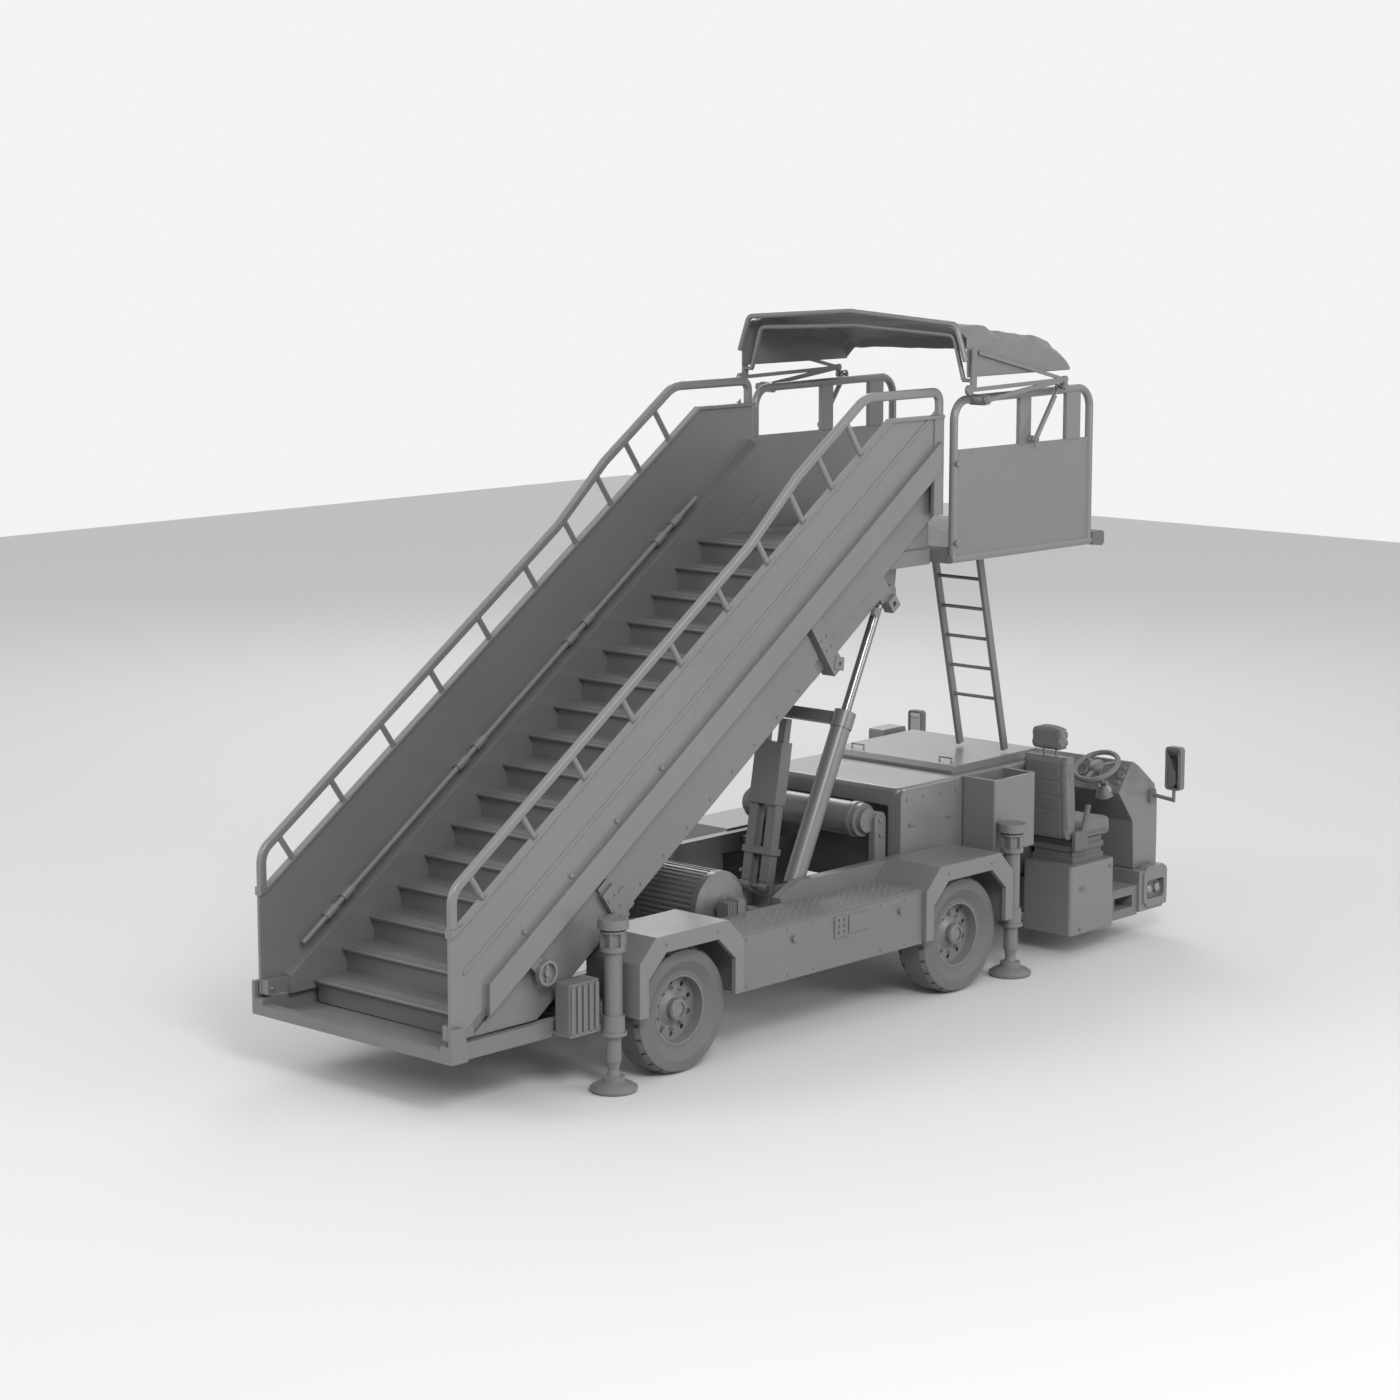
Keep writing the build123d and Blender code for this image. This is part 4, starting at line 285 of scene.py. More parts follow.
def fade(tree, amount, first, second, x, y):
    made = newNode(tree, "ShaderNodeMix", x, y, data_type="RGBA")
    join(tree, amount, made.inputs["Factor"])
    for socket, value in ((made.inputs[6], first), (made.inputs[7], second)):
        if hasattr(value, "links"):
            join(tree, value, socket)
        else:
            socket.default_value = (*value, 1)
    return made.outputs[2]


def linear(grey):
    return tuple(((c + 0.055) / 1.055) ** 2.4 for c in grey)


# What a finish has unless its own values say otherwise
plainFinish = {"skin": "paintGrain", "toneRange": 0.12, "grain": {}, "wear": {}, "dust": {},
               "dustColour": (0.45, 0.449, 0.446), "wornColour": (0.56, 0.56, 0.56), "dustRoughness": 0.3,
               "metallic": 0, "coat": 0, "coatRoughness": 0.15, "sheen": 0, "bump": 0.25, "depth": 0.001,
               "plateBump": 0.8, "plateDepth": 0.002}


# One finish: a base colour varied in tone, dust over it, worn edges, and a height for the bump
def makeFinish(name, ownValues):
    values = {**plainFinish, **ownValues}
    material = bpy.data.materials.new(name)
    material.use_nodes = True
    tree = material.node_tree
    shader = tree.nodes["Principled BSDF"]
    shader.location = (900, 0)
    base = linear(values["colour"])
    reach = values["toneRange"]
    dark, pale = [tuple(c * (1 + shift) for c in base) for shift in (-reach, reach)]
    grain = useGroup(tree, values["skin"], -900, 200, **values["grain"])
    wear = useGroup(tree, "edgeWear", -900, -100, **values["wear"])
    dust = useGroup(tree, "dust", -900, -400, **values["dust"])
    colour = fade(tree, grain.outputs["Tone"], dark, pale, -500, 300)
    colour = fade(tree, dust.outputs["Mask"], colour, linear(values["dustColour"]), -250, 300)
    colour = fade(tree, wear.outputs["Mask"], colour, linear(values["wornColour"]), 0, 300)
    join(tree, colour, shader.inputs["Base Color"])
    rough = newNode(tree, "ShaderNodeMapRange", -300, 0)
    setValues(rough, To_Min=values["roughness"][0], To_Max=values["roughness"][1])
    join(tree, grain.outputs["Tone"], rough.inputs["Value"])
    dusty = mathNode(tree, "MULTIPLY", dust.outputs["Mask"], values["dustRoughness"], -100, -100)
    dusty = mathNode(tree, "ADD", rough.outputs["Result"], dusty, 100, 0, clamp=True)
    join(tree, dusty, shader.inputs["Roughness"])
    setValues(shader, Metallic=values["metallic"], Coat_Weight=values["coat"],
              Coat_Roughness=values["coatRoughness"], Sheen_Weight=values["sheen"])
    bump = newNode(tree, "ShaderNodeBump", 500, -300)
    setValues(bump, Strength=values["bump"], Distance=values["depth"])
    join(tree, grain.outputs["Height"], bump.inputs["Height"])
    join(tree, wear.outputs["Normal"], bump.inputs["Normal"])
    normal = bump.outputs["Normal"]
    if "plate" in values:
        plate = useGroup(tree, "treadPlate", -900, -700, Pitch=values["plate"])
        raised = newNode(tree, "ShaderNodeBump", 700, -400)
        setValues(raised, Strength=values["plateBump"], Distance=values["plateDepth"])
        join(tree, plate.outputs["Height"], raised.inputs["Height"])
        join(tree, normal, raised.inputs["Normal"])
        normal = raised.outputs["Normal"]
    join(tree, normal, shader.inputs["Normal"])
    return material


# Values of each finish, by the record's slot
finishes = {
    "painted_frame": {"colour": (0.415, 0.415, 0.42), "roughness": (0.3, 0.42), "coat": 0.25,
                      "grain": {"Ripple": 0.6}, "wear": {"Radius": 0.007, "Amount": 0.45}},
    "painted_panel": {"colour": (0.43, 0.43, 0.435), "roughness": (0.28, 0.38), "coat": 0.35,
                      "grain": {"Ripple": 0.35, "Ripple Size": 5}, "wear": {"Radius": 0.011, "Amount": 0.35},
                      "toneRange": 0.06},
    "step_plate": {"colour": (0.42, 0.42, 0.425), "roughness": (0.34, 0.5), "metallic": 0.25,
                   "grain": {"Grain Size": 420}, "wear": {"Radius": 0.003, "Amount": 0.9},
                   "dust": {"Settled": 0.4, "Splash": 0.2}, "depth": 0.0012},
    "deck_plate": {"colour": (0.4, 0.4, 0.405), "roughness": (0.4, 0.55), "plate": 30,
                   "wear": {"Radius": 0.003, "Amount": 0.8}, "dust": {"Settled": 0.6}},
    "hand_tube": {"colour": (0.44, 0.44, 0.445), "roughness": (0.26, 0.36), "coat": 0.25,
                  "grain": {"Ripple": 0.2}, "wear": {"Radius": 0.003, "Amount": 0.3}},
    "rod_chrome": {"colour": (0.5, 0.5, 0.505), "roughness": (0.16, 0.24), "metallic": 0.55, "bump": 0.05,
                   "toneRange": 0.04, "grain": {"Ripple": 0.02, "Grain Size": 700},
                   "dust": {"Settled": 0.1, "Splash": 0.1}},
    "tyre": {"colour": (0.36, 0.36, 0.36), "roughness": (0.62, 0.8), "skin": "pebble", "toneRange": 0.15,
             "grain": {"Pebbles": 300, "Creases": 22}, "wear": {"Radius": 0.005, "Amount": 0.25},
             "dust": {"Splash": 0.4, "Splash Height": 1.1}, "bump": 0.3},
    "rim": {"colour": (0.43, 0.43, 0.435), "roughness": (0.3, 0.42), "coat": 0.15,
            "wear": {"Radius": 0.003, "Amount": 0.6}, "dust": {"Splash": 0.5}},
    "rubber": {"colour": (0.36, 0.36, 0.36), "roughness": (0.6, 0.75), "skin": "pebble", "bump": 0.3,
               "wear": {"Radius": 0.005, "Amount": 0.2}},
    "moulding": {"colour": (0.4, 0.4, 0.405), "roughness": (0.42, 0.55), "skin": "pebble", "bump": 0.2,
                 "grain": {"Pebbles": 600, "Creases": 6}, "wear": {"Radius": 0.005, "Amount": 0.3}},
    "seat_cover": {"colour": (0.385, 0.385, 0.385), "roughness": (0.48, 0.62), "skin": "pebble", "bump": 0.45,
                   "depth": 0.0015, "grain": {"Pebbles": 380, "Creases": 12}, "sheen": 0.1,
                   "wear": {"Radius": 0.003, "Amount": 0.1}},
    "canopy_skin": {"colour": (0.42, 0.42, 0.425), "roughness": (0.5, 0.62), "skin": "weave", "bump": 0.2,
                    "wear": {"Radius": 0.003, "Amount": 0.1}, "sheen": 0.1, "dust": {"Settled": 0.25}},
    "cast_metal": {"colour": (0.39, 0.39, 0.395), "roughness": (0.5, 0.68), "bump": 0.5,
                   "grain": {"Ripple": 0.9, "Ripple Size": 60}, "wear": {"Radius": 0.005, "Amount": 0.5}},
    "bare_steel": {"colour": (0.47, 0.47, 0.475), "roughness": (0.28, 0.4), "metallic": 0.3,
                   "wear": {"Radius": 0.0015, "Amount": 0.3}},
    "lamp_lens": {"colour": (0.5, 0.5, 0.5), "roughness": (0.06, 0.1), "coat": 1, "coatRoughness": 0.03,
                  "toneRange": 0.03, "bump": 0.02, "wear": {"Radius": 0.001, "Amount": 0}},
    "mirror_glass": {"colour": (0.62, 0.62, 0.63), "roughness": (0.03, 0.06), "metallic": 1, "bump": 0.01,
                     "toneRange": 0.02, "wear": {"Radius": 0.001, "Amount": 0},
                     "dust": {"Settled": 0, "Splash": 0}},
    "locker_deck": {"colour": (0.41, 0.41, 0.415), "roughness": (0.4, 0.55), "plate": 30,
                    "wear": {"Radius": 0.003, "Amount": 0.6}, "dust": {"Settled": 0.5}},
}
materials = {name: makeFinish(name, values) for name, values in finishes.items()}
for name, carrier in nodes.items():
    carrier.data.materials.clear()
    carrier.data.materials.append(materials[slotOf[name]])
for name in ("side_lockers", "entry_base", "platform_floor"):
    nodes[name].data.materials[0] = materials["locker_deck"]
print("finishes made:", len(materials))


# Helpers that make pieces
def addPiece(name, mesh, body, slot, finish=None, smooth=True):
    piece = bpy.data.objects.new(name, mesh)
    bpy.context.collection.objects.link(piece)
    mesh.materials.clear()
    mesh.materials.append(materials[finish or slot])
    if smooth:
        mesh.polygons.foreach_set("use_smooth", [True] * len(mesh.polygons))
    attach(piece, body)
    return piece


def meshFrom(name, work):
    bmesh.ops.recalc_face_normals(work, faces=work.faces)
    mesh = bpy.data.meshes.new(name)
    work.to_mesh(mesh)
    work.free()
    return mesh


def turnTo(direction, spin=0):
    return Vector(direction).to_track_quat("Z", "Y").to_matrix().to_4x4() @ Matrix.Rotation(spin, 4, "Z")


# A turned form from its profile of radius and height, along a direction
def addTurned(work, place, direction, profile, segments=24, spin=0):
    matrix = Matrix.Translation(place) @ turnTo(direction, spin)
    rings = []
    for radius, height in profile:
        if radius == 0:
            rings.append([work.verts.new(matrix @ Vector((0, 0, height)))])
            continue
        angles = [2 * math.pi * k / segments for k in range(segments)]
        spots = [Vector((radius * math.cos(angle), radius * math.sin(angle), height)) for angle in angles]
        rings.append([work.verts.new(matrix @ spot) for spot in spots])
    for low, high in zip(rings, rings[1:]):
        for k in range(segments):
            after = (k + 1) % segments
            corners = [low[k % len(low)], low[after % len(low)], high[after % len(high)], high[k % len(high)]]
            kept = [c for place, c in enumerate(corners) if c not in corners[:place]]
            if len(kept) > 2:
                work.faces.new(kept)


def addBox(work, low, high, matrix, rounding):
    size = [b - a for a, b in zip(low, high)]
    middle = Vector([(a + b) / 2 for a, b in zip(low, high)])
    made = bmesh.ops.create_cube(work, size=1)
    for vert in made["verts"]:
        vert.co = Vector([c * s for c, s in zip(vert.co, size)]) + middle
    edges = list({edge for vert in made["verts"] for edge in vert.link_edges})
    shaped = bmesh.ops.bevel(work, geom=edges, offset=rounding, segments=2, affect="EDGES", profile=0.6)
    for vert in set(shaped["verts"]) | {vert for vert in made["verts"] if vert.is_valid}:
        vert.co = matrix @ vert.co


trees = {}


# The point where a straight line first meets a node, and the outward normal there
def seatOn(node, start, direction):
    if node not in trees:
        mesh = nodes[node].data
        trees[node] = BVHTree.FromPolygons([v.co for v in mesh.vertices], [p.vertices for p in mesh.polygons])
    return trees[node].ray_cast(Vector(start), Vector(direction).normalized())[:2]


# Hexagon bolt with a washer: its sizes as shares of its radius
boltShape = {"washer": 1.75, "washerThick": 0.25, "head": 1.15, "headThick": 0.85, "chamfer": 0.12,
             "sunk": 0.0005, "spin": 0.4}


def addBolt(work, place, normal, radius, spin=0.3):
    washer, thick = radius * boltShape["washer"], radius * boltShape["washerThick"]
    head, top = radius * boltShape["head"], thick + radius * boltShape["headThick"]
    cut = radius * boltShape["chamfer"]
    rim = [(washer, -boltShape["sunk"]), (washer, thick * 0.7), (washer * 0.93, thick), (head, thick)]
    addTurned(work, place, normal, rim, 20)
    hexagon = [(head, thick - 0.0002), (head, top - cut), (head - cut * 1.5, top), (0, top)]
    addTurned(work, place, normal, hexagon, 6, spin)


def boltMesh(name, body, sites, radius, slot="painted_frame", finish="bare_steel"):
    work = bmesh.new()
    for count, (node, start, direction) in enumerate(sites):
        place, normal = seatOn(node, start, direction)
        if place is None:
            print("no seat for a bolt of", name, start)
            continue
        addBolt(work, place, normal, radius, boltShape["spin"] * count)
    return addPiece(name, meshFrom(name, work), body, slot, finish, smooth=False)


def domeMesh(name, body, sites, radius, height, slot, finish=None):
    work = bmesh.new()
    for node, start, direction in sites:
        place, normal = seatOn(node, start, direction)
        if place is None:
            print("no seat for a rivet of", name, start)
            continue
        addTurned(work, place, normal, [(radius, -0.0005), (radius, 0.0004), (radius * 0.8, height * 0.62),
                                        (radius * 0.45, height * 0.92), (0, height)], 10)
    return addPiece(name, meshFrom(name, work), body, slot, finish)


# Canopy: one sheet over the hoops, sagging between them, with folds at the eaves
canopy = {
    "rows": ((1.295, 5.058, 5.125), (1.62, 5.045, 5.11), (1.91, 4.985, 5.05), (2.23, 4.955, 5.01),
             (2.51, 4.85, 4.9), (2.58, 4.775, 4.8)),
    "half": 1.1337, "low": 4.67, "eavesRound": 0.085, "eavesDrop": 0.28, "inside": 0.008,
    "alongCount": 150, "acrossCount": 220, "thickness": 0.0025, "hem": 0.02, "hemShare": 0.15,
    "sag": 0.014, "sagFrom": 1.36, "sagLength": 1.16,
    "folds": ((0.011, (5, 3.2, 6)), (0.00385, (17, 9, 14))),
    "dentEvery": 0.4, "dentDepth": 0.028, "dentSize": 0.085, "dentAt": 1.0,
}


# Heights of the eaves and the ridge at x, on a smooth line through the rows
def canopyRow(x):
    rows = canopy["rows"]
    last = len(rows) - 1
    place = next((k for k in range(last) if x <= rows[k + 1][0]), last - 1)
    before, first, second, after = [rows[min(max(place + k, 0), last)] for k in (-1, 0, 1, 2)]
    run = second[0] - first[0]
    share = min(max((x - first[0]) / run, 0), 1)
    levels = []
    for k in (1, 2):
        leave = (second[k] - before[k]) / (second[0] - before[0]) * run
        reach = (after[k] - first[k]) / (after[0] - first[0]) * run
        levels.append((first[k] * (1 + 2 * share) + leave * share) * (1 - share) ** 2
                      + (second[k] * (3 - 2 * share) - reach * (1 - share)) * share ** 2)
    return levels


# The point at a share of the way over the canopy, and the direction of the sheet there
def canopyPoint(x, share):
    eaves, ridge = canopyRow(x)
    inside = canopy["inside"]
    half, turn = canopy["half"] - inside, canopy["eavesRound"]
    corners = [Vector((half, canopy["low"])), Vector((half, eaves - turn - inside)),
               Vector((half - turn, eaves - inside)), Vector((0, ridge - inside))]
    corners += [Vector((-c.x, c.y)) for c in corners[2::-1]]
    lengths = [(b - a).length for a, b in zip(corners, corners[1:])]
    reach = share * sum(lengths)
    for start, end, length in zip(corners, corners[1:], lengths):
        if reach <= length + 1e-9:
            return start + (end - start) * (reach / length), (end - start).normalized()
        reach -= length
    return corners[-1], (corners[-1] - corners[-2]).normalized()


def makeCanopy():
    work = bmesh.new()
    rows = canopy["rows"]
    count, across = canopy["alongCount"], canopy["acrossCount"]
    grid = []
    for i in range(count + 1):
        x = rows[0][0] + (rows[-1][0] - rows[0][0]) * i / count
        line = []
        for j in range(across + 1):
            flat, run = canopyPoint(x, j / across)
            out = Vector((0, run.y, -run.x))
            place = Vector((x, flat.x, flat.y))
            between = math.sin(math.pi * min(max((x - canopy["sagFrom"]) / canopy["sagLength"], 0), 1))
            middle = 1 - abs(flat.x) / canopy["half"]
            push = -canopy["sag"] * between * min(1, middle * 6)
            for depth, pitch in canopy["folds"]:
                push += noise.noise(Vector([c * p for c, p in zip(place, pitch)])) * depth
            pull = math.sin(x * 2 * math.pi / canopy["dentEvery"])
            near = math.exp(-((abs(flat.x) - canopy["dentAt"]) / canopy["dentSize"]) ** 2)
            push -= canopy["dentDepth"] * max(pull, 0) ** 1.5 * near
            if flat.y < canopy["low"] + canopy["hem"]:
                push *= canopy["hemShare"]
            line.append(work.verts.new(place + out * push))
        grid.append(line)
    for first, second in zip(grid, grid[1:]):
        for a, b, c, d in zip(first, first[1:], second[1:], second):
            work.faces.new((a, b, c, d))
    mesh = meshFrom("canopySheet", work)
    piece = addPiece("canopySheet", mesh, "canopy", "canopy_skin")
    thick = piece.modifiers.new("thickness", "SOLIDIFY")
    thick.thickness = canopy["thickness"]
    thick.offset = 0
    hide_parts("canopy_cover")


makeCanopy()
print("canopy sheet made")


# Seat: padded pieces blown up a little from the seat's solids, then sewn
seat = {"voxel": 0.0065, "shrink": 0.007, "pressure": 4, "stiffness": 12, "steps": 20, "cap": 0.011,
        "seamDepth": 0.006, "seamWidth": 0.005, "bolster": 0.145, "cushionFill": 0.7, "backFill": 0.7,
        "headFill": 0.6, "cushionSeams": (0.3, 0.17), "cushionWelt": 0.095, "backSeams": (0.24, 0.36, 0.48),
        "bolsterTop": 0.68, "backTop": 0.7, "headFoot": 0.745, "headWelt": 0.058, "headWider": 1.22,
        "headTaller": 1.18, "stayPlaces": (-0.06, 0.06), "stayFoot": (0.064, 0.67), "stayLean": -0.01,
        "stayRadius": 0.008, "stayLength": 0.1}


# A closed copy of a node, or of the part of it that is kept
def looseCopy(name, node, keep):
    work = bmesh.new()
    work.from_mesh(nodes[node].data)
    bmesh.ops.delete(work, geom=[v for v in work.verts if not keep(v.co)], context="VERTS")
    bmesh.ops.remove_doubles(work, verts=work.verts, dist=1e-5)
    bmesh.ops.holes_fill(work, edges=[edge for edge in work.edges if edge.is_boundary], sides=0)
    mesh = meshFrom(name, work)
    copy = bpy.data.objects.new(name, mesh)
    bpy.context.collection.objects.link(copy)
    return copy


def settle(copy):
    graph = bpy.context.evaluated_depsgraph_get()
    mesh = bpy.data.meshes.new_from_object(copy.evaluated_get(graph))
    copy.modifiers.clear()
    copy.data = mesh
    return mesh


def puff(copy):
    remesh = copy.modifiers.new("remesh", "REMESH")
    remesh.mode = "VOXEL"
    remesh.voxel_size = seat["voxel"]
    mesh = settle(copy)
    for vert in mesh.vertices:
        vert.co = vert.co - vert.normal * seat["shrink"]
    start = [vert.co.copy() for vert in mesh.vertices]
    cloth = copy.modifiers.new("cloth", "CLOTH")
    cloth.settings.quality = 4
    cloth.settings.use_pressure = True
    cloth.settings.uniform_pressure_force = seat["pressure"]
    cloth.settings.effector_weights.gravity = 0
    cloth.settings.tension_stiffness = seat["stiffness"]
    cloth.settings.compression_stiffness = seat["stiffness"]
    cloth.collision_settings.use_collision = False
    for step in range(1, seat["steps"] + 1):
        bpy.context.scene.frame_set(step)
    mesh = settle(copy)
    bpy.context.scene.frame_set(1)
    for vert, first in zip(mesh.vertices, start):
        move = vert.co - first
        if move.length > seat["cap"]:
            vert.co = first + move * (seat["cap"] / move.length)
    return mesh


# Sinks the skin where a seam's distance is near zero
def sewn(mesh, seams):
    for vert in mesh.vertices:
        sink = sum(math.exp(-(away(vert.co) / seat["seamWidth"]) ** 2) for away in seams)
        vert.co = vert.co - vert.normal * seat["seamDepth"] * min(sink, 1)


def makePad(name, node, seams, keep=lambda p: True):
    copy = looseCopy(name, node, keep)
    mesh = puff(copy)
    sewn(mesh, seams)
    mesh.materials.clear()
    mesh.materials.append(materials["seat_cover"])
    mesh.polygons.foreach_set("use_smooth", [True] * len(mesh.polygons))
    smooth = copy.modifiers.new("smooth", "SUBSURF")
    smooth.levels = 1
    smooth.render_levels = 1
    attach(copy, "chassis")
    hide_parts(node)
    return copy


cushionLow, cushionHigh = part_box("seat_cushion")
backLow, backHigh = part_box("seat_back")
seatMiddle = (cushionLow[1] + cushionHigh[1]) / 2
far = 1  # a seam's distance where there is none of it


def fromBolster(p):
    return abs(p.y - seatMiddle) - seat["bolster"]


def makeSeat():
    seams = [fromBolster, lambda p: p.z - (cushionLow[2] + seat["cushionWelt"])]
    seams += [lambda p, back=back: p.x - (cushionLow[0] + back) if fromBolster(p) < 0 else far
              for back in seat["cushionSeams"]]
    makePad("seatCushionPad", "seat_cushion", seams)
    seams = [lambda p: fromBolster(p) if p.z < backLow[2] + seat["bolsterTop"] else far]
    seams += [lambda p, height=height: p.z - backLow[2] - height if fromBolster(p) < 0 else far
              for height in seat["backSeams"]]
    makePad("seatBackPad", "seat_back", seams, lambda p: p.z < backLow[2] + seat["backTop"])
    seams = [lambda p: p.x - (backLow[0] + seat["headWelt"])]
    headrest = makePad("headrestPad", "seat_back", seams,
                       lambda p: p.z > backLow[2] + seat["headFoot"])
    for vert in headrest.data.vertices:
        vert.co.y = seatMiddle + (vert.co.y - seatMiddle) * seat["headWider"]
        vert.co.z = backHigh[2] + (vert.co.z - backHigh[2]) * seat["headTaller"]
    work = bmesh.new()
    forward, up = seat["stayFoot"]
    for shift in seat["stayPlaces"]:
        addTurned(work, (backLow[0] + forward, seatMiddle + shift, backLow[2] + up), (seat["stayLean"], 0, 1),
                  [(seat["stayRadius"], 0), (seat["stayRadius"], seat["stayLength"])], 16)
    addPiece("headrestStays", meshFrom("headrestStays", work), "chassis", "rod_chrome")


makeSeat()
print("seat padded")


# Wheels: nuts and studs round each hub, a hub cap with its own bolts, and a valve
wheels = {"ends": (("rear", -1.94), ("front", 1.16)), "sides": (("right", -1), ("left", 1)), "height": 0.45,
          "outside": 1.5, "nuts": 10, "nutCircle": 0.148, "nutRadius": 0.0125,
          "stud": ((0.5, 0), (0.5, 2.1), (0.36, 2.3), (0, 2.3)), "capAt": 0.05,
          "capRadius": 0.07, "capBolts": 6, "capCircle": 0.061, "capBoltRadius": 0.0045, "capBoltOut": 0.007,
          "valveCircle": 0.222, "valveTurn": 0.9, "valveLean": 0.25,
          "valve": ((0.0055, -0.001), (0.0055, 0.012), (0.004, 0.014), (0.004, 0.03), (0, 0.031))}


# A point beside a wheel, on a circle round its axle
def besideWheel(x, side, radius, angle):
    return Vector((x + radius * math.cos(angle), side * wheels["outside"],
                   wheels["height"] + radius * math.sin(angle)))


def makeWheelTrim():
    for end, x in wheels["ends"]:
        for sideName, side in wheels["sides"]:
            node, inward, outward = f"rim_{end}_{sideName}", (0, -side, 0), (0, side, 0)
            work = bmesh.new()
            radius = wheels["nutRadius"]
            stud = [(radius * wide, radius * high) for wide, high in wheels["stud"]]
            for count in range(wheels["nuts"]):
                angle = 2 * math.pi * (count + 0.5) / wheels["nuts"]
                place = seatOn(node, besideWheel(x, side, wheels["nutCircle"], angle), inward)[0]
                addBolt(work, place, outward, radius, angle)
                addTurned(work, place, outward, stud, 12)
            place = seatOn(node, besideWheel(x, side, wheels["capAt"], 0), inward)[0]
            middle = Vector((x, place.y, wheels["height"]))
            radius = wheels["capRadius"]
            addTurned(work, middle, outward, [(radius, -0.001), (radius, 0.004), (radius - 0.006, 0.008),
                                              (radius - 0.018, 0.009)], 40)
            for count in range(wheels["capBolts"]):
                angle = 2 * math.pi * count / wheels["capBolts"]
                spot = Vector((math.cos(angle), 0, math.sin(angle))) * wheels["capCircle"]
                spot.y = side * wheels["capBoltOut"]
                addBolt(work, middle + spot, outward, wheels["capBoltRadius"])
            angle, lean = wheels["valveTurn"], wheels["valveLean"]
            place = seatOn(node, besideWheel(x, side, wheels["valveCircle"], angle), inward)[0]
            aim = (-lean * math.cos(angle), side, -lean * math.sin(angle))
            addTurned(work, place, aim, wheels["valve"], 10)
            wheel = f"{end}_{sideName}"
            addPiece(f"wheelTrim_{wheel}", meshFrom("wheelTrim", work), f"wheel_{wheel}", "rim", "bare_steel",
                     smooth=False)


makeWheelTrim()
print("wheels trimmed")


# Steering wheel: a thick ring, three spokes and a domed hub, with grips for the fingers
steering = {"centre": (3.26, -0.968, 1.44), "lean": 30, "ring": 0.18, "tube": 0.021, "around": 144,
            "section": 16, "grips": 36, "gripDepth": 0.0016, "hub": 0.062, "hubDrop": 0.03, "spokes": 3,
            "spokeHalf": 0.017, "column": 0.0185, "columnDrop": 0.1845}


def makeSteeringWheel():
    work = bmesh.new()
    tilt = Matrix.Translation(steering["centre"]) @ Matrix.Rotation(-math.radians(steering["lean"]), 4, "Y")
    around, section = steering["around"], steering["section"]
    rings = []
    for i in range(around):
        angle = 2 * math.pi * i / around
        ring = []
        for j in range(section):
            turn = 2 * math.pi * j / section
            grip = 0.5 + 0.5 * math.cos(steering["grips"] * angle)
            thick = steering["tube"] - steering["gripDepth"] * max(0, -math.cos(turn)) * grip
            reach = steering["ring"] + thick * math.cos(turn)
            spot = Vector((reach * math.cos(angle), reach * math.sin(angle), thick * math.sin(turn)))
            ring.append(work.verts.new(tilt @ spot))
        rings.append(ring)
    for first, second in zip(rings, rings[1:] + rings[:1]):
        for j in range(section):
            after = (j + 1) % section
            work.faces.new((first[j], second[j], second[after], first[after]))
    up = (tilt.to_3x3() @ Vector((0, 0, 1))).normalized()
    middle = Vector(steering["centre"])
    r = steering["hub"]
    hub = [(0, 0), (r * 0.85, 0), (r, 0.01), (r, 0.045), (r * 0.92, 0.054), (r * 0.6, 0.06), (0, 0.062)]
    addTurned(work, middle - up * steering["hubDrop"], up, hub, 40)
    half = steering["spokeHalf"]
    for spoke in range(steering["spokes"]):
        spin = tilt @ Matrix.Rotation(math.pi + 2 * math.pi * spoke / steering["spokes"], 4, "Z")
        addBox(work, (r * 0.8, -half, -0.009), (steering["ring"] - 0.008, half, 0.005), spin, 0.004)
    thin, wide = steering["column"], steering["column"] + 0.004
    column = [(0, 0), (wide, 0), (wide, 0.05), (thin, 0.054), (thin, 0.165)]
    addTurned(work, middle - up * steering["columnDrop"], up, column, 24)
    piece = addPiece("steeringRing", meshFrom("steeringRing", work), "chassis", "moulding")
    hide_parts("steering_wheel")


makeSteeringWheel()


# Kick plates that close the corners beside the landing
kick = {"inner": 0.838, "outer": 0.844, "outline": ((0.78, 3.3852), (1.205, 3.3852), (1.205, 3.68))}


def makeKickPlates():
    work = bmesh.new()
    for side in bothSides:
        faces = []
        for y in (kick["inner"], kick["outer"]):
            faces.append([work.verts.new((x, side * y, z)) for x, z in kick["outline"]])
        work.faces.new(faces[0])
        work.faces.new(faces[1])
        for k in range(len(kick["outline"])):
            after = (k + 1) % len(kick["outline"])
            work.faces.new((faces[0][k], faces[0][after], faces[1][after], faces[1][k]))
    mesh = meshFrom("landingKickPlates", work)
    addPiece("landingKickPlates", mesh, "flight", "painted_panel", smooth=False)


makeKickPlates()
print("steering wheel and kick plates made")


# Lamps in the bumper's ends: a lens on each round, with a bezel
lamps = {"xs": (3.685, 3.795), "height": 0.392, "face": 1.2085, "radius": 0.042}


def makeLamps():
    lens, bezel = bmesh.new(), bmesh.new()
    r = lamps["radius"]
    dome = [(r * 0.86, -0.001), (r * 0.86, 0.003), (r * 0.74, 0.007), (r * 0.5, 0.0105), (r * 0.25, 0.012),
            (0, 0.0125)]
    rim = [(r, -0.001), (r, 0.006), (r * 0.97, 0.009), (r * 0.9, 0.009), (r * 0.87, 0.005), (r * 0.87, 0)]
    for side in bothSides:
        for x in lamps["xs"]:
            place = Vector((x, side * lamps["face"], lamps["height"]))
            addTurned(lens, place, (0, side, 0), dome, 36)
            addTurned(bezel, place, (0, side, 0), rim, 36)
    addPiece("lampLenses", meshFrom("lampLenses", lens), "chassis", "moulding", "lamp_lens")
    addPiece("lampBezels", meshFrom("lampBezels", bezel), "chassis", "painted_panel", "bare_steel")


makeLamps()


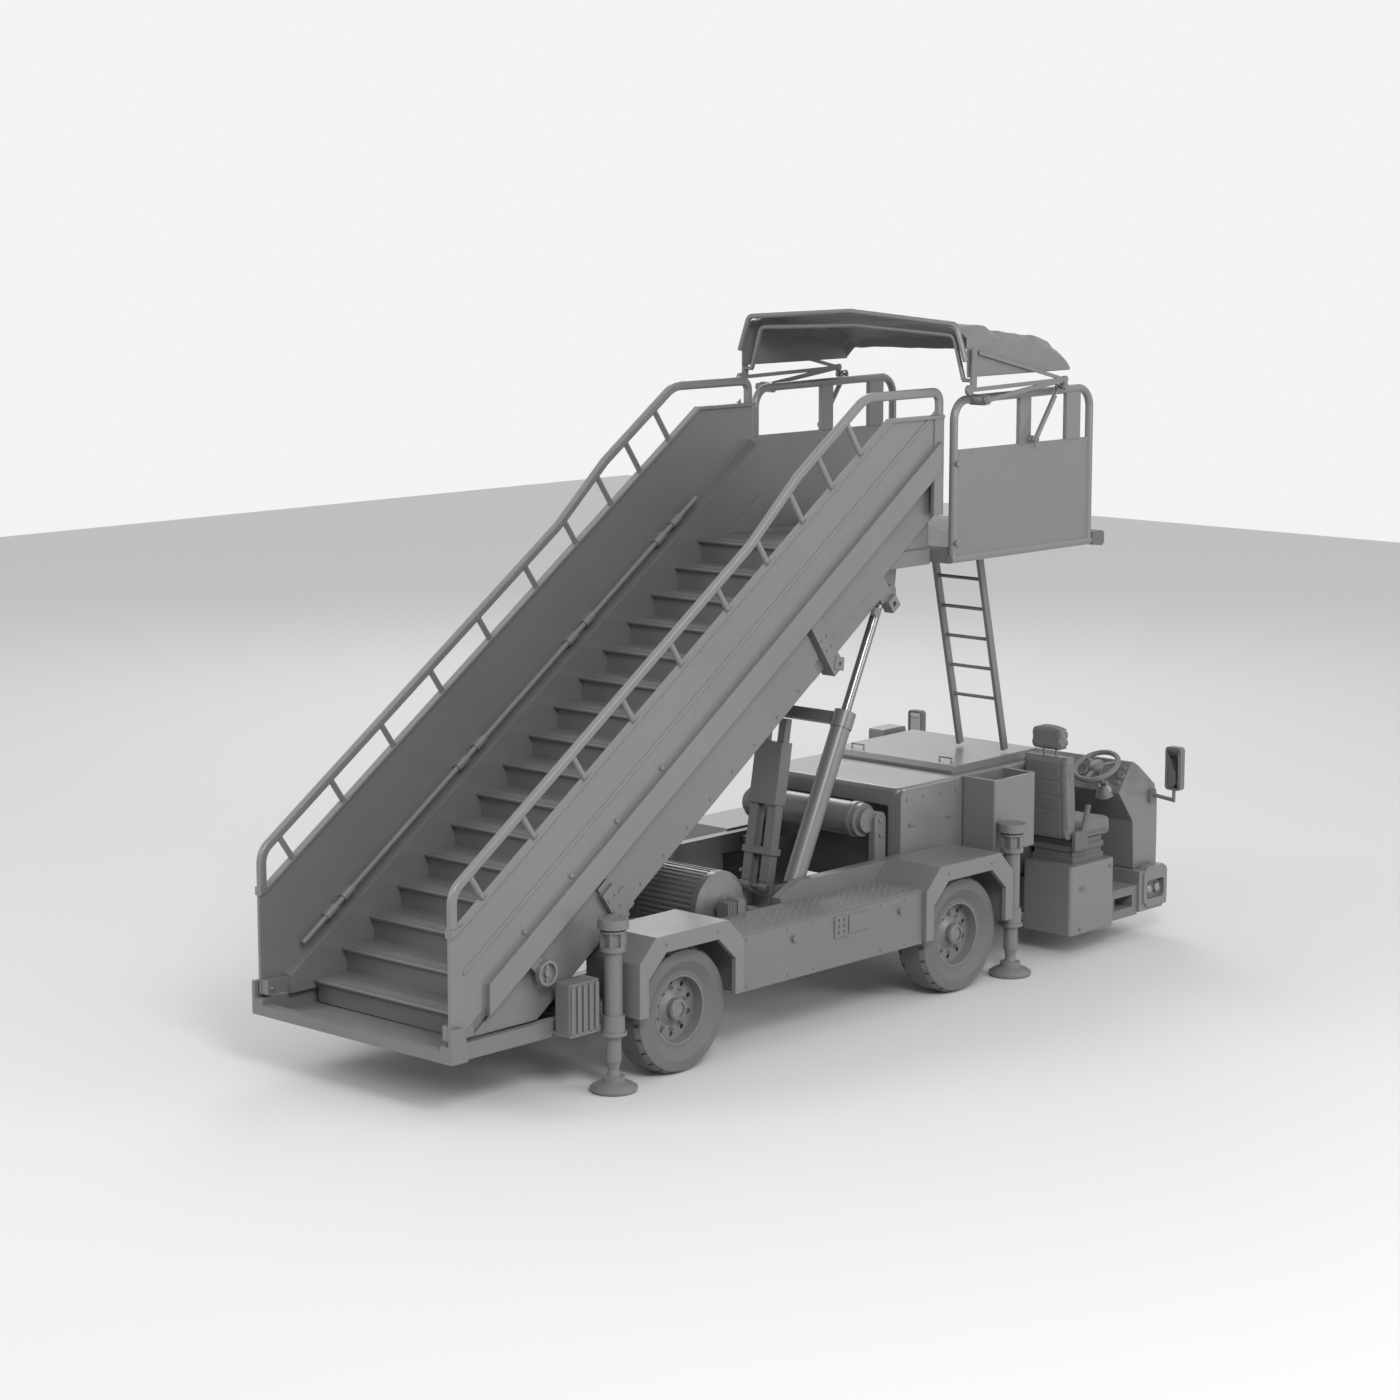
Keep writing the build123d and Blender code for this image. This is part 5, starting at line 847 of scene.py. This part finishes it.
# Mirror glasses in their recesses, facing rear
mirrors = {"x": 3.7895, "y": 1.345, "halfWidth": 0.0565, "low": 1.2335, "high": 1.5515, "round": 0.018,
           "corners": ((1, 1, 0), (-1, 1, 90), (-1, -1, 180), (1, -1, 270)), "arcSteps": 6,
           "rings": ((1, 0.0012), (1, 0), (0.97, -0.0012), (0.5, -0.002))}


def makeMirrorGlass():
    work = bmesh.new()
    for side in bothSides:
        outline = []
        turned = mirrors["round"]
        for cornerY, cornerZ, start in mirrors["corners"]:
            midY = mirrors["y"] * side + cornerY * (mirrors["halfWidth"] - turned)
            level = mirrors["high"] - turned if cornerZ > 0 else mirrors["low"] + turned
            for step in range(mirrors["arcSteps"] + 1):
                turn = math.radians(start + 90 * step / mirrors["arcSteps"])
                outline.append(Vector((0, midY + turned * math.cos(turn), level + turned * math.sin(turn))))
        middle = Vector((0, mirrors["y"] * side, (mirrors["low"] + mirrors["high"]) / 2))
        rings = []
        for share, back in mirrors["rings"]:
            place = Vector((mirrors["x"] + back, 0, 0))
            rings.append([work.verts.new(place + middle + (spot - middle) * share) for spot in outline])
        for low, high in zip(rings, rings[1:]):
            for k in range(len(low)):
                after = (k + 1) % len(low)
                work.faces.new((low[k], low[after], high[after], high[k]))
        work.faces.new(rings[-1])
    addPiece("mirrorGlasses", meshFrom("mirrorGlasses", work), "chassis", "moulding", "mirror_glass")


makeMirrorGlass()
print("lamps and mirrors made")


# Steps: ridges behind each nosing
steps = {"count": 16, "rise": 0.1845, "going": 0.2645, "firstX": -3.501, "firstZ": 0.618, "half": 0.80,
         "ridges": 7, "ridgePitch": 0.018, "ridgeFrom": 0.012, "ridgeHalf": 0.0035, "ridgeHigh": 0.0028,
         "ridgeOutline": ((-1, -0.3), (-1, 0.2), (-0.55, 1), (0.55, 1), (1, 0.2), (1, -0.3))}


def makeStepRidges():
    work = bmesh.new()
    for step in range(steps["count"]):
        x0 = steps["firstX"] + step * steps["going"] + steps["ridgeFrom"]
        z = steps["firstZ"] + step * steps["rise"]
        level = seatOn("steps", (x0 + 0.02, 0, z + 0.1), (0, 0, -1))[0].z
        outline = steps["ridgeOutline"]
        for ridge in range(steps["ridges"]):
            x = x0 + ridge * steps["ridgePitch"]
            ends = []
            for y in (-steps["half"], steps["half"]):
                ends.append([work.verts.new((x + u * steps["ridgeHalf"], y, level + v * steps["ridgeHigh"]))
                             for u, v in outline])
            for k in range(len(outline)):
                after = (k + 1) % len(outline)
                work.faces.new((ends[0][k], ends[0][after], ends[1][after], ends[1][k]))
            work.faces.new(ends[0])
            work.faces.new(ends[1])
    addPiece("stepRidges", meshFrom("stepRidges", work), "flight", "step_plate", smooth=False)


makeStepRidges()
print("steps ribbed")


# Grip plate on both lockers: rows of raised lozenges
decks = {"height": 0.9, "play": 0.02, "inner": 0.86, "outer": 1.262, "border": 0.08, "start": 0.05,
         "pitchX": 0.042, "pitchY": 0.03, "longHalf": 0.014, "shortHalf": 0.0042, "high": 0.0028,
         "sunk": 0.0003, "topLong": 0.6, "topShort": 0.5}


# One lozenge in its own place: its foot a little sunk, its top smaller
def addLozenge(work, matrix):
    corners = ((-1, 0), (0, -1), (1, 0), (0, 1))
    rings = []
    for long, short, height in ((1, 1, -decks["sunk"]), (decks["topLong"], decks["topShort"], decks["high"])):
        long, short = long * decks["longHalf"], short * decks["shortHalf"]
        rings.append([work.verts.new(matrix @ Vector((u * long, v * short, height))) for u, v in corners])
    base, top = rings
    for k in range(4):
        work.faces.new((base[k], base[(k + 1) % 4], top[(k + 1) % 4], top[k]))
    work.faces.new(top)


def makeDeckGrip():
    work = bmesh.new()
    low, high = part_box("side_lockers")
    countX = int((high[0] - low[0] - decks["border"]) / decks["pitchX"])
    countY = int((decks["outer"] - decks["inner"]) / decks["pitchY"])
    for side in bothSides:
        for i in range(countX):
            for j in range(countY):
                x = low[0] + decks["start"] + i * decks["pitchX"]
                y = side * (decks["inner"] + (j + 0.5) * decks["pitchY"])
                place = seatOn("side_lockers", (x, y, decks["height"] + 0.1), (0, 0, -1))[0]
                if place is None or abs(place.z - decks["height"]) > decks["play"]:
                    continue
                turn = math.radians(45 if (i + j) % 2 else -45)
                addLozenge(work, Matrix.Translation(place) @ Matrix.Rotation(turn, 4, "Z"))
    addPiece("deckGrip", meshFrom("deckGrip", work), "chassis", "painted_panel", "locker_deck", smooth=False)


makeDeckGrip()


# Fasteners on the fixed parts: where they are looked for from outside, and how big they are
fasteners = {
    "outside": 1.6, "boltRadius": 0.007, "rivetRadius": 0.009, "rivetHeight": 0.005,
    "jackXs": (-2.575, 1.865), "jackY": 1.18, "jackAbove": 1.4, "jackCircle": 0.086, "jackCount": 6,
    "jackRadius": 0.008,
    "fenderXs": (-2.38, -2.2, -1.68, -1.5, 0.72, 0.9, 1.42, 1.6), "fenderZ": 0.98,
    "lockerXs": (-1.34, -0.9, -0.62, 0.14, 0.42), "lockerZs": (0.52, 0.86),
    "hoodXs": (1.10, 1.30, 1.50, 1.70), "hoodZs": (1.02, 1.44), "hoodOutside": 1.3,
    "frameXs": (1.35, 2.97), "frameZs": (3.33, 4.09), "frameOutside": 1.3,
    "rowXs": [1.36 + 0.158 * count for count in range(11)],
    "postZs": [3.48 + 0.155 * count for count in range(4)],
}


# Lines that run inwards onto a node from both sides
def fromOutside(node, places, outside):
    return [(node, (x, side * outside, z), (0, -side, 0)) for side in bothSides for x, z in places]


def makeFasteners():
    f = fasteners
    ring = [2 * math.pi * count / f["jackCount"] for count in range(f["jackCount"])]
    ring = [(f["jackCircle"] * math.cos(angle), f["jackCircle"] * math.sin(angle)) for angle in ring]
    sites = [("jack_housings", (x + dx, side * f["jackY"] + dy, f["jackAbove"]), (0, 0, -1))
             for x in f["jackXs"] for side in bothSides for dx, dy in ring]
    boltMesh("jackBolts", "chassis", sites, f["jackRadius"])
    sites = []
    rows = (("fenders", f["fenderXs"], (f["fenderZ"],)), ("side_lockers", f["lockerXs"], f["lockerZs"]))
    for side in bothSides:
        for node, xs, zs in rows:
            sites += [(node, (x, side * f["outside"], z), (0, -side, 0)) for x in xs for z in zs]
    boltMesh("bodyBolts", "chassis", sites, f["boltRadius"], "painted_panel")
    places = [(x, z) for z in f["frameZs"] for x in f["rowXs"]]
    places += [(x, z) for x in f["frameXs"] for z in f["postZs"]]
    sites = fromOutside("side_frames", places, f["frameOutside"])
    domeMesh("sideFrameRivets", "platform", sites, f["rivetRadius"], f["rivetHeight"], "painted_panel")
    sites = fromOutside("hood", [(x, z) for x in f["hoodXs"] for z in f["hoodZs"]], f["hoodOutside"])
    boltMesh("hoodBolts", "chassis", sites, f["boltRadius"], "painted_panel")


makeFasteners()


# Rivets and bolts on the flight, in rows along the line of the nosings
slope = {"tangent": Vector((steps["going"], 0, steps["rise"])).normalized(),
         "square": Vector((-steps["rise"], 0, steps["going"])).normalized(),
         "origin": Vector((steps["firstX"], 0, steps["firstZ"])), "outside": 1.3,
         "rivetsAt": [0.25 + 0.16 * count for count in range(33)], "rivetOffsets": (0.7, 0.36),
         "rivetRadius": 0.007, "rivetHeight": 0.004,
         "bracketAt": (1.27, 1.34, 4.0, 4.06), "bracketOffsets": (-0.2, -0.1),
         "beamAt": [1.6 + 0.29 * count for count in range(8)], "beamOffset": -0.265, "boltRadius": 0.008}


def upSlope(distance, offset):
    place = slope["origin"] + slope["tangent"] * distance + slope["square"] * offset
    return place.x, place.z


def makePanelRivets():
    w = slope
    places = [upSlope(distance, offset) for distance in w["rivetsAt"] for offset in w["rivetOffsets"]]
    sites = fromOutside("side_panels", places, w["outside"])
    domeMesh("panelRivets", "flight", sites, w["rivetRadius"], w["rivetHeight"], "painted_panel")
    places = [upSlope(distance, offset) for distance in w["bracketAt"] for offset in w["bracketOffsets"]]
    places += [upSlope(distance, w["beamOffset"]) for distance in w["beamAt"]]
    boltMesh("flightBolts", "flight", fromOutside("flight_frame", places, w["outside"]), w["boltRadius"])


makePanelRivets()
print("fasteners placed")


# Pins with heads at the hinges, each on the body that carries it
pins = {  # body, x and z, inner and outer end, radius, radius of the head
    "platformHingePins": ("flight", (1.238, 3.285), 0.64, 0.695, 0.0145, 0.024),
    "liftEyePins": ("flight", (0.905, 3.065), 0.578, 0.722, 0.0225, 0.036),
    "flightPivotPins": ("chassis", (-3.845, 0.6), 0.88, 0.985, 0.0145, 0.024),
}


def makePins():
    for name, (body, (x, z), inner, outer, radius, head) in pins.items():
        work = bmesh.new()
        reach = outer - inner
        profile = [(0, -0.012), (radius * 0.7, -0.012), (radius, -0.008), (radius, reach), (head, reach),
                   (head, reach + 0.007), (head * 0.85, reach + 0.01), (0, reach + 0.01)]
        for side in bothSides:
            addTurned(work, (x, side * inner, z), (0, side, 0), profile, 28)
        addPiece(name, meshFrom(name, work), body, "painted_frame", "bare_steel")


makePins()


# Latches on the hood's doors and the pedestals, and handles on the hood's lid
handles = {"latches": (("hood", 1.16, -1.3, 1.24), ("hood", 1.62, -1.3, 1.24),
                       ("hood", 1.16, 1.3, 1.24), ("hood", 2.3, 1.3, 1.24),
                       ("pedestals", 2.72, -1.6, 0.56), ("pedestals", 2.72, 1.6, 0.56)),
           "plate": ((-0.045, -0.02, -0.001), (0.045, 0.02, 0.005), 0.002),
           "knob": ((-0.03, -0.009, 0.004), (0.03, 0.009, 0.016), 0.004),
           "lidX": 1.95, "lidYs": (-0.45, 0.45), "lidAbove": 2.0, "gripHalf": 0.06, "gripHeight": 0.03,
           "foot": [(0.011, -0.001), (0.011, 0.004), (0.006, 0.006), (0.006, 0.03)],
           "bar": [(0, 0), (0.005, 0.001), (0.0065, 0.004), (0.0065, 0.132), (0.005, 0.135), (0, 0.136)]}


def makeHandles():
    work = bmesh.new()
    for node, x, y, z in handles["latches"]:
        place, normal = seatOn(node, (x, y, z), (0, math.copysign(1, -y), 0))
        if place is None:
            continue
        matrix = Matrix.Translation(place) @ turnTo(normal)
        for low, high, rounding in (handles["plate"], handles["knob"]):
            addBox(work, low, high, matrix, rounding)
    mesh = meshFrom("doorLatches", work)
    addPiece("doorLatches", mesh, "chassis", "painted_panel", "bare_steel", smooth=False)
    work = bmesh.new()
    half = handles["gripHalf"]
    for y in handles["lidYs"]:
        place = seatOn("hood_lid", (handles["lidX"], y, handles["lidAbove"]), (0, 0, -1))[0]
        for shift in (-half, half):
            addTurned(work, place + Vector((0, shift, 0)), (0, 0, 1), handles["foot"], 16)
        start = place + Vector((0, -handles["bar"][-1][1] / 2, handles["gripHeight"]))
        addTurned(work, start, (0, 1, 0), handles["bar"], 16)
    addPiece("lidHandles", meshFrom("lidHandles", work), "chassis", "painted_panel", "bare_steel")


makeHandles()
print("pins and handles made")


# Instruments on the console: each dial's height up the slanted face, y, radius and how far it stands out
console = {"rear": Vector((3.36, 0, 1.22)), "up": Vector((0.6, 0, 0.8)), "out": Vector((-0.8, 0, 0.6)),
           "dials": ((0.158, -0.69, 0.046, 0.012), (0.158, -0.56, 0.046, 0.012), (0.225, -0.625, 0.03, 0.01)),
           "ticks": 11, "firstTick": -130, "tickPitch": 26, "longEvery": 5, "tickHalf": 0.0009,
           "longHalf": 0.0014, "tickProud": 0.0006, "tick": ((0.66, -1), (0.82, -1), (0.82, 1), (0.66, 1)),
           "firstNeedle": -70, "needlePitch": 60, "needleHalf": 0.0013, "needleProud": 0.0012,
           "needle": ((-0.15, -1), (0.6, -0.4), (0.6, 0.4), (-0.15, 1))}


# A flat mark on a dial, its outline given along its ray and across it
def addMark(work, middle, radius, degrees, outline, half, proud):
    angle = math.radians(degrees)
    ray = console["up"] * math.cos(angle) + Vector((0, 1, 0)) * math.sin(angle)
    cross = ray.cross(console["out"])
    work.faces.new([work.verts.new(middle + ray * radius * a + cross * half * b + console["out"] * proud)
                    for a, b in outline])


def makeDials():
    rings, marks = bmesh.new(), bmesh.new()
    for count, (up, y, radius, proud) in enumerate(console["dials"]):
        middle = console["rear"] + console["up"] * up + console["out"] * proud + Vector((0, y, 0))
        addTurned(rings, middle, console["out"], [(radius, -0.002), (radius, 0.003), (radius * 0.95, 0.005),
                                                  (radius * 0.88, 0.005), (radius * 0.86, 0.0005)], 40)
        for tick in range(console["ticks"]):
            half = console["tickHalf"] if tick % console["longEvery"] else console["longHalf"]
            degrees = console["firstTick"] + console["tickPitch"] * tick
            addMark(marks, middle, radius, degrees, console["tick"], half, console["tickProud"])
        degrees = console["firstNeedle"] + console["needlePitch"] * count
        half = console["needleHalf"]
        addMark(marks, middle, radius, degrees, console["needle"], half, console["needleProud"])
    addPiece("dialRings", meshFrom("dialRings", rings), "chassis", "moulding", "bare_steel")
    addPiece("dialMarks", meshFrom("dialMarks", marks), "chassis", "moulding", "mirror_glass", smooth=False)


makeDials()
print("instruments made")


# Floor and backdrop of a plain studio
studio = {"floorSize": 60, "floorColour": 0.62, "floorRoughness": 0.9, "skyForLight": 0.78,
          "skyForCamera": 0.9, "lampAim": (0, 0, 1.8),
          "lamps": (((-9, -13, 12), 1500, 5), ((5, -14, 6), 600, 6),
                    ((-14, 6, 9), 620, 5), ((12, 12, 12), 700, 7))}  # place, watts, size


def makeStudio():
    work = bmesh.new()
    half = studio["floorSize"] / 2
    corners = ((-half, -half), (half, -half), (half, half), (-half, half))
    work.faces.new([work.verts.new((x, y, 0)) for x, y in corners])
    mesh = meshFrom("floor", work)
    floor = bpy.data.objects.new("floor", mesh)
    bpy.context.collection.objects.link(floor)
    material = bpy.data.materials.new("floorPaper")
    material.use_nodes = True
    shader = material.node_tree.nodes["Principled BSDF"]
    setValues(shader, Base_Color=(*[studio["floorColour"]] * 3, 1), Roughness=studio["floorRoughness"])
    mesh.materials.append(material)
    world = bpy.data.worlds.new("studio")
    bpy.context.scene.world = world
    world.use_nodes = True
    tree = world.node_tree
    plain = tree.nodes["Background"]
    setValues(plain, Color=(1, 1, 1, 1), Strength=studio["skyForLight"])
    seen = newNode(tree, "ShaderNodeBackground", 0, -200)
    setValues(seen, Color=(*[studio["skyForCamera"]] * 3, 1))
    path = newNode(tree, "ShaderNodeLightPath", -600, 0)
    anyRay = mathNode(tree, "MAXIMUM", path.outputs["Is Camera Ray"], path.outputs["Is Glossy Ray"], -300, 0)
    anyRay = mathNode(tree, "MAXIMUM", anyRay, path.outputs["Is Transmission Ray"], -150, 0)
    mix = newNode(tree, "ShaderNodeMixShader", 200, 0)
    join(tree, anyRay, mix.inputs["Fac"])
    join(tree, plain.outputs[0], mix.inputs[1])
    join(tree, seen.outputs[0], mix.inputs[2])
    join(tree, mix.outputs[0], tree.nodes["World Output"].inputs["Surface"])
    for count, (place, power, size) in enumerate(studio["lamps"]):
        light = bpy.data.lights.new(f"softbox{count}", "AREA")
        light.energy = power
        light.size = size
        lamp = bpy.data.objects.new(f"softbox{count}", light)
        bpy.context.collection.objects.link(lamp)
        lamp.location = place
        lamp.rotation_euler = (Vector(studio["lampAim"]) - Vector(place)).to_track_quat("-Z", "Y").to_euler()


makeStudio()
print("studio made")
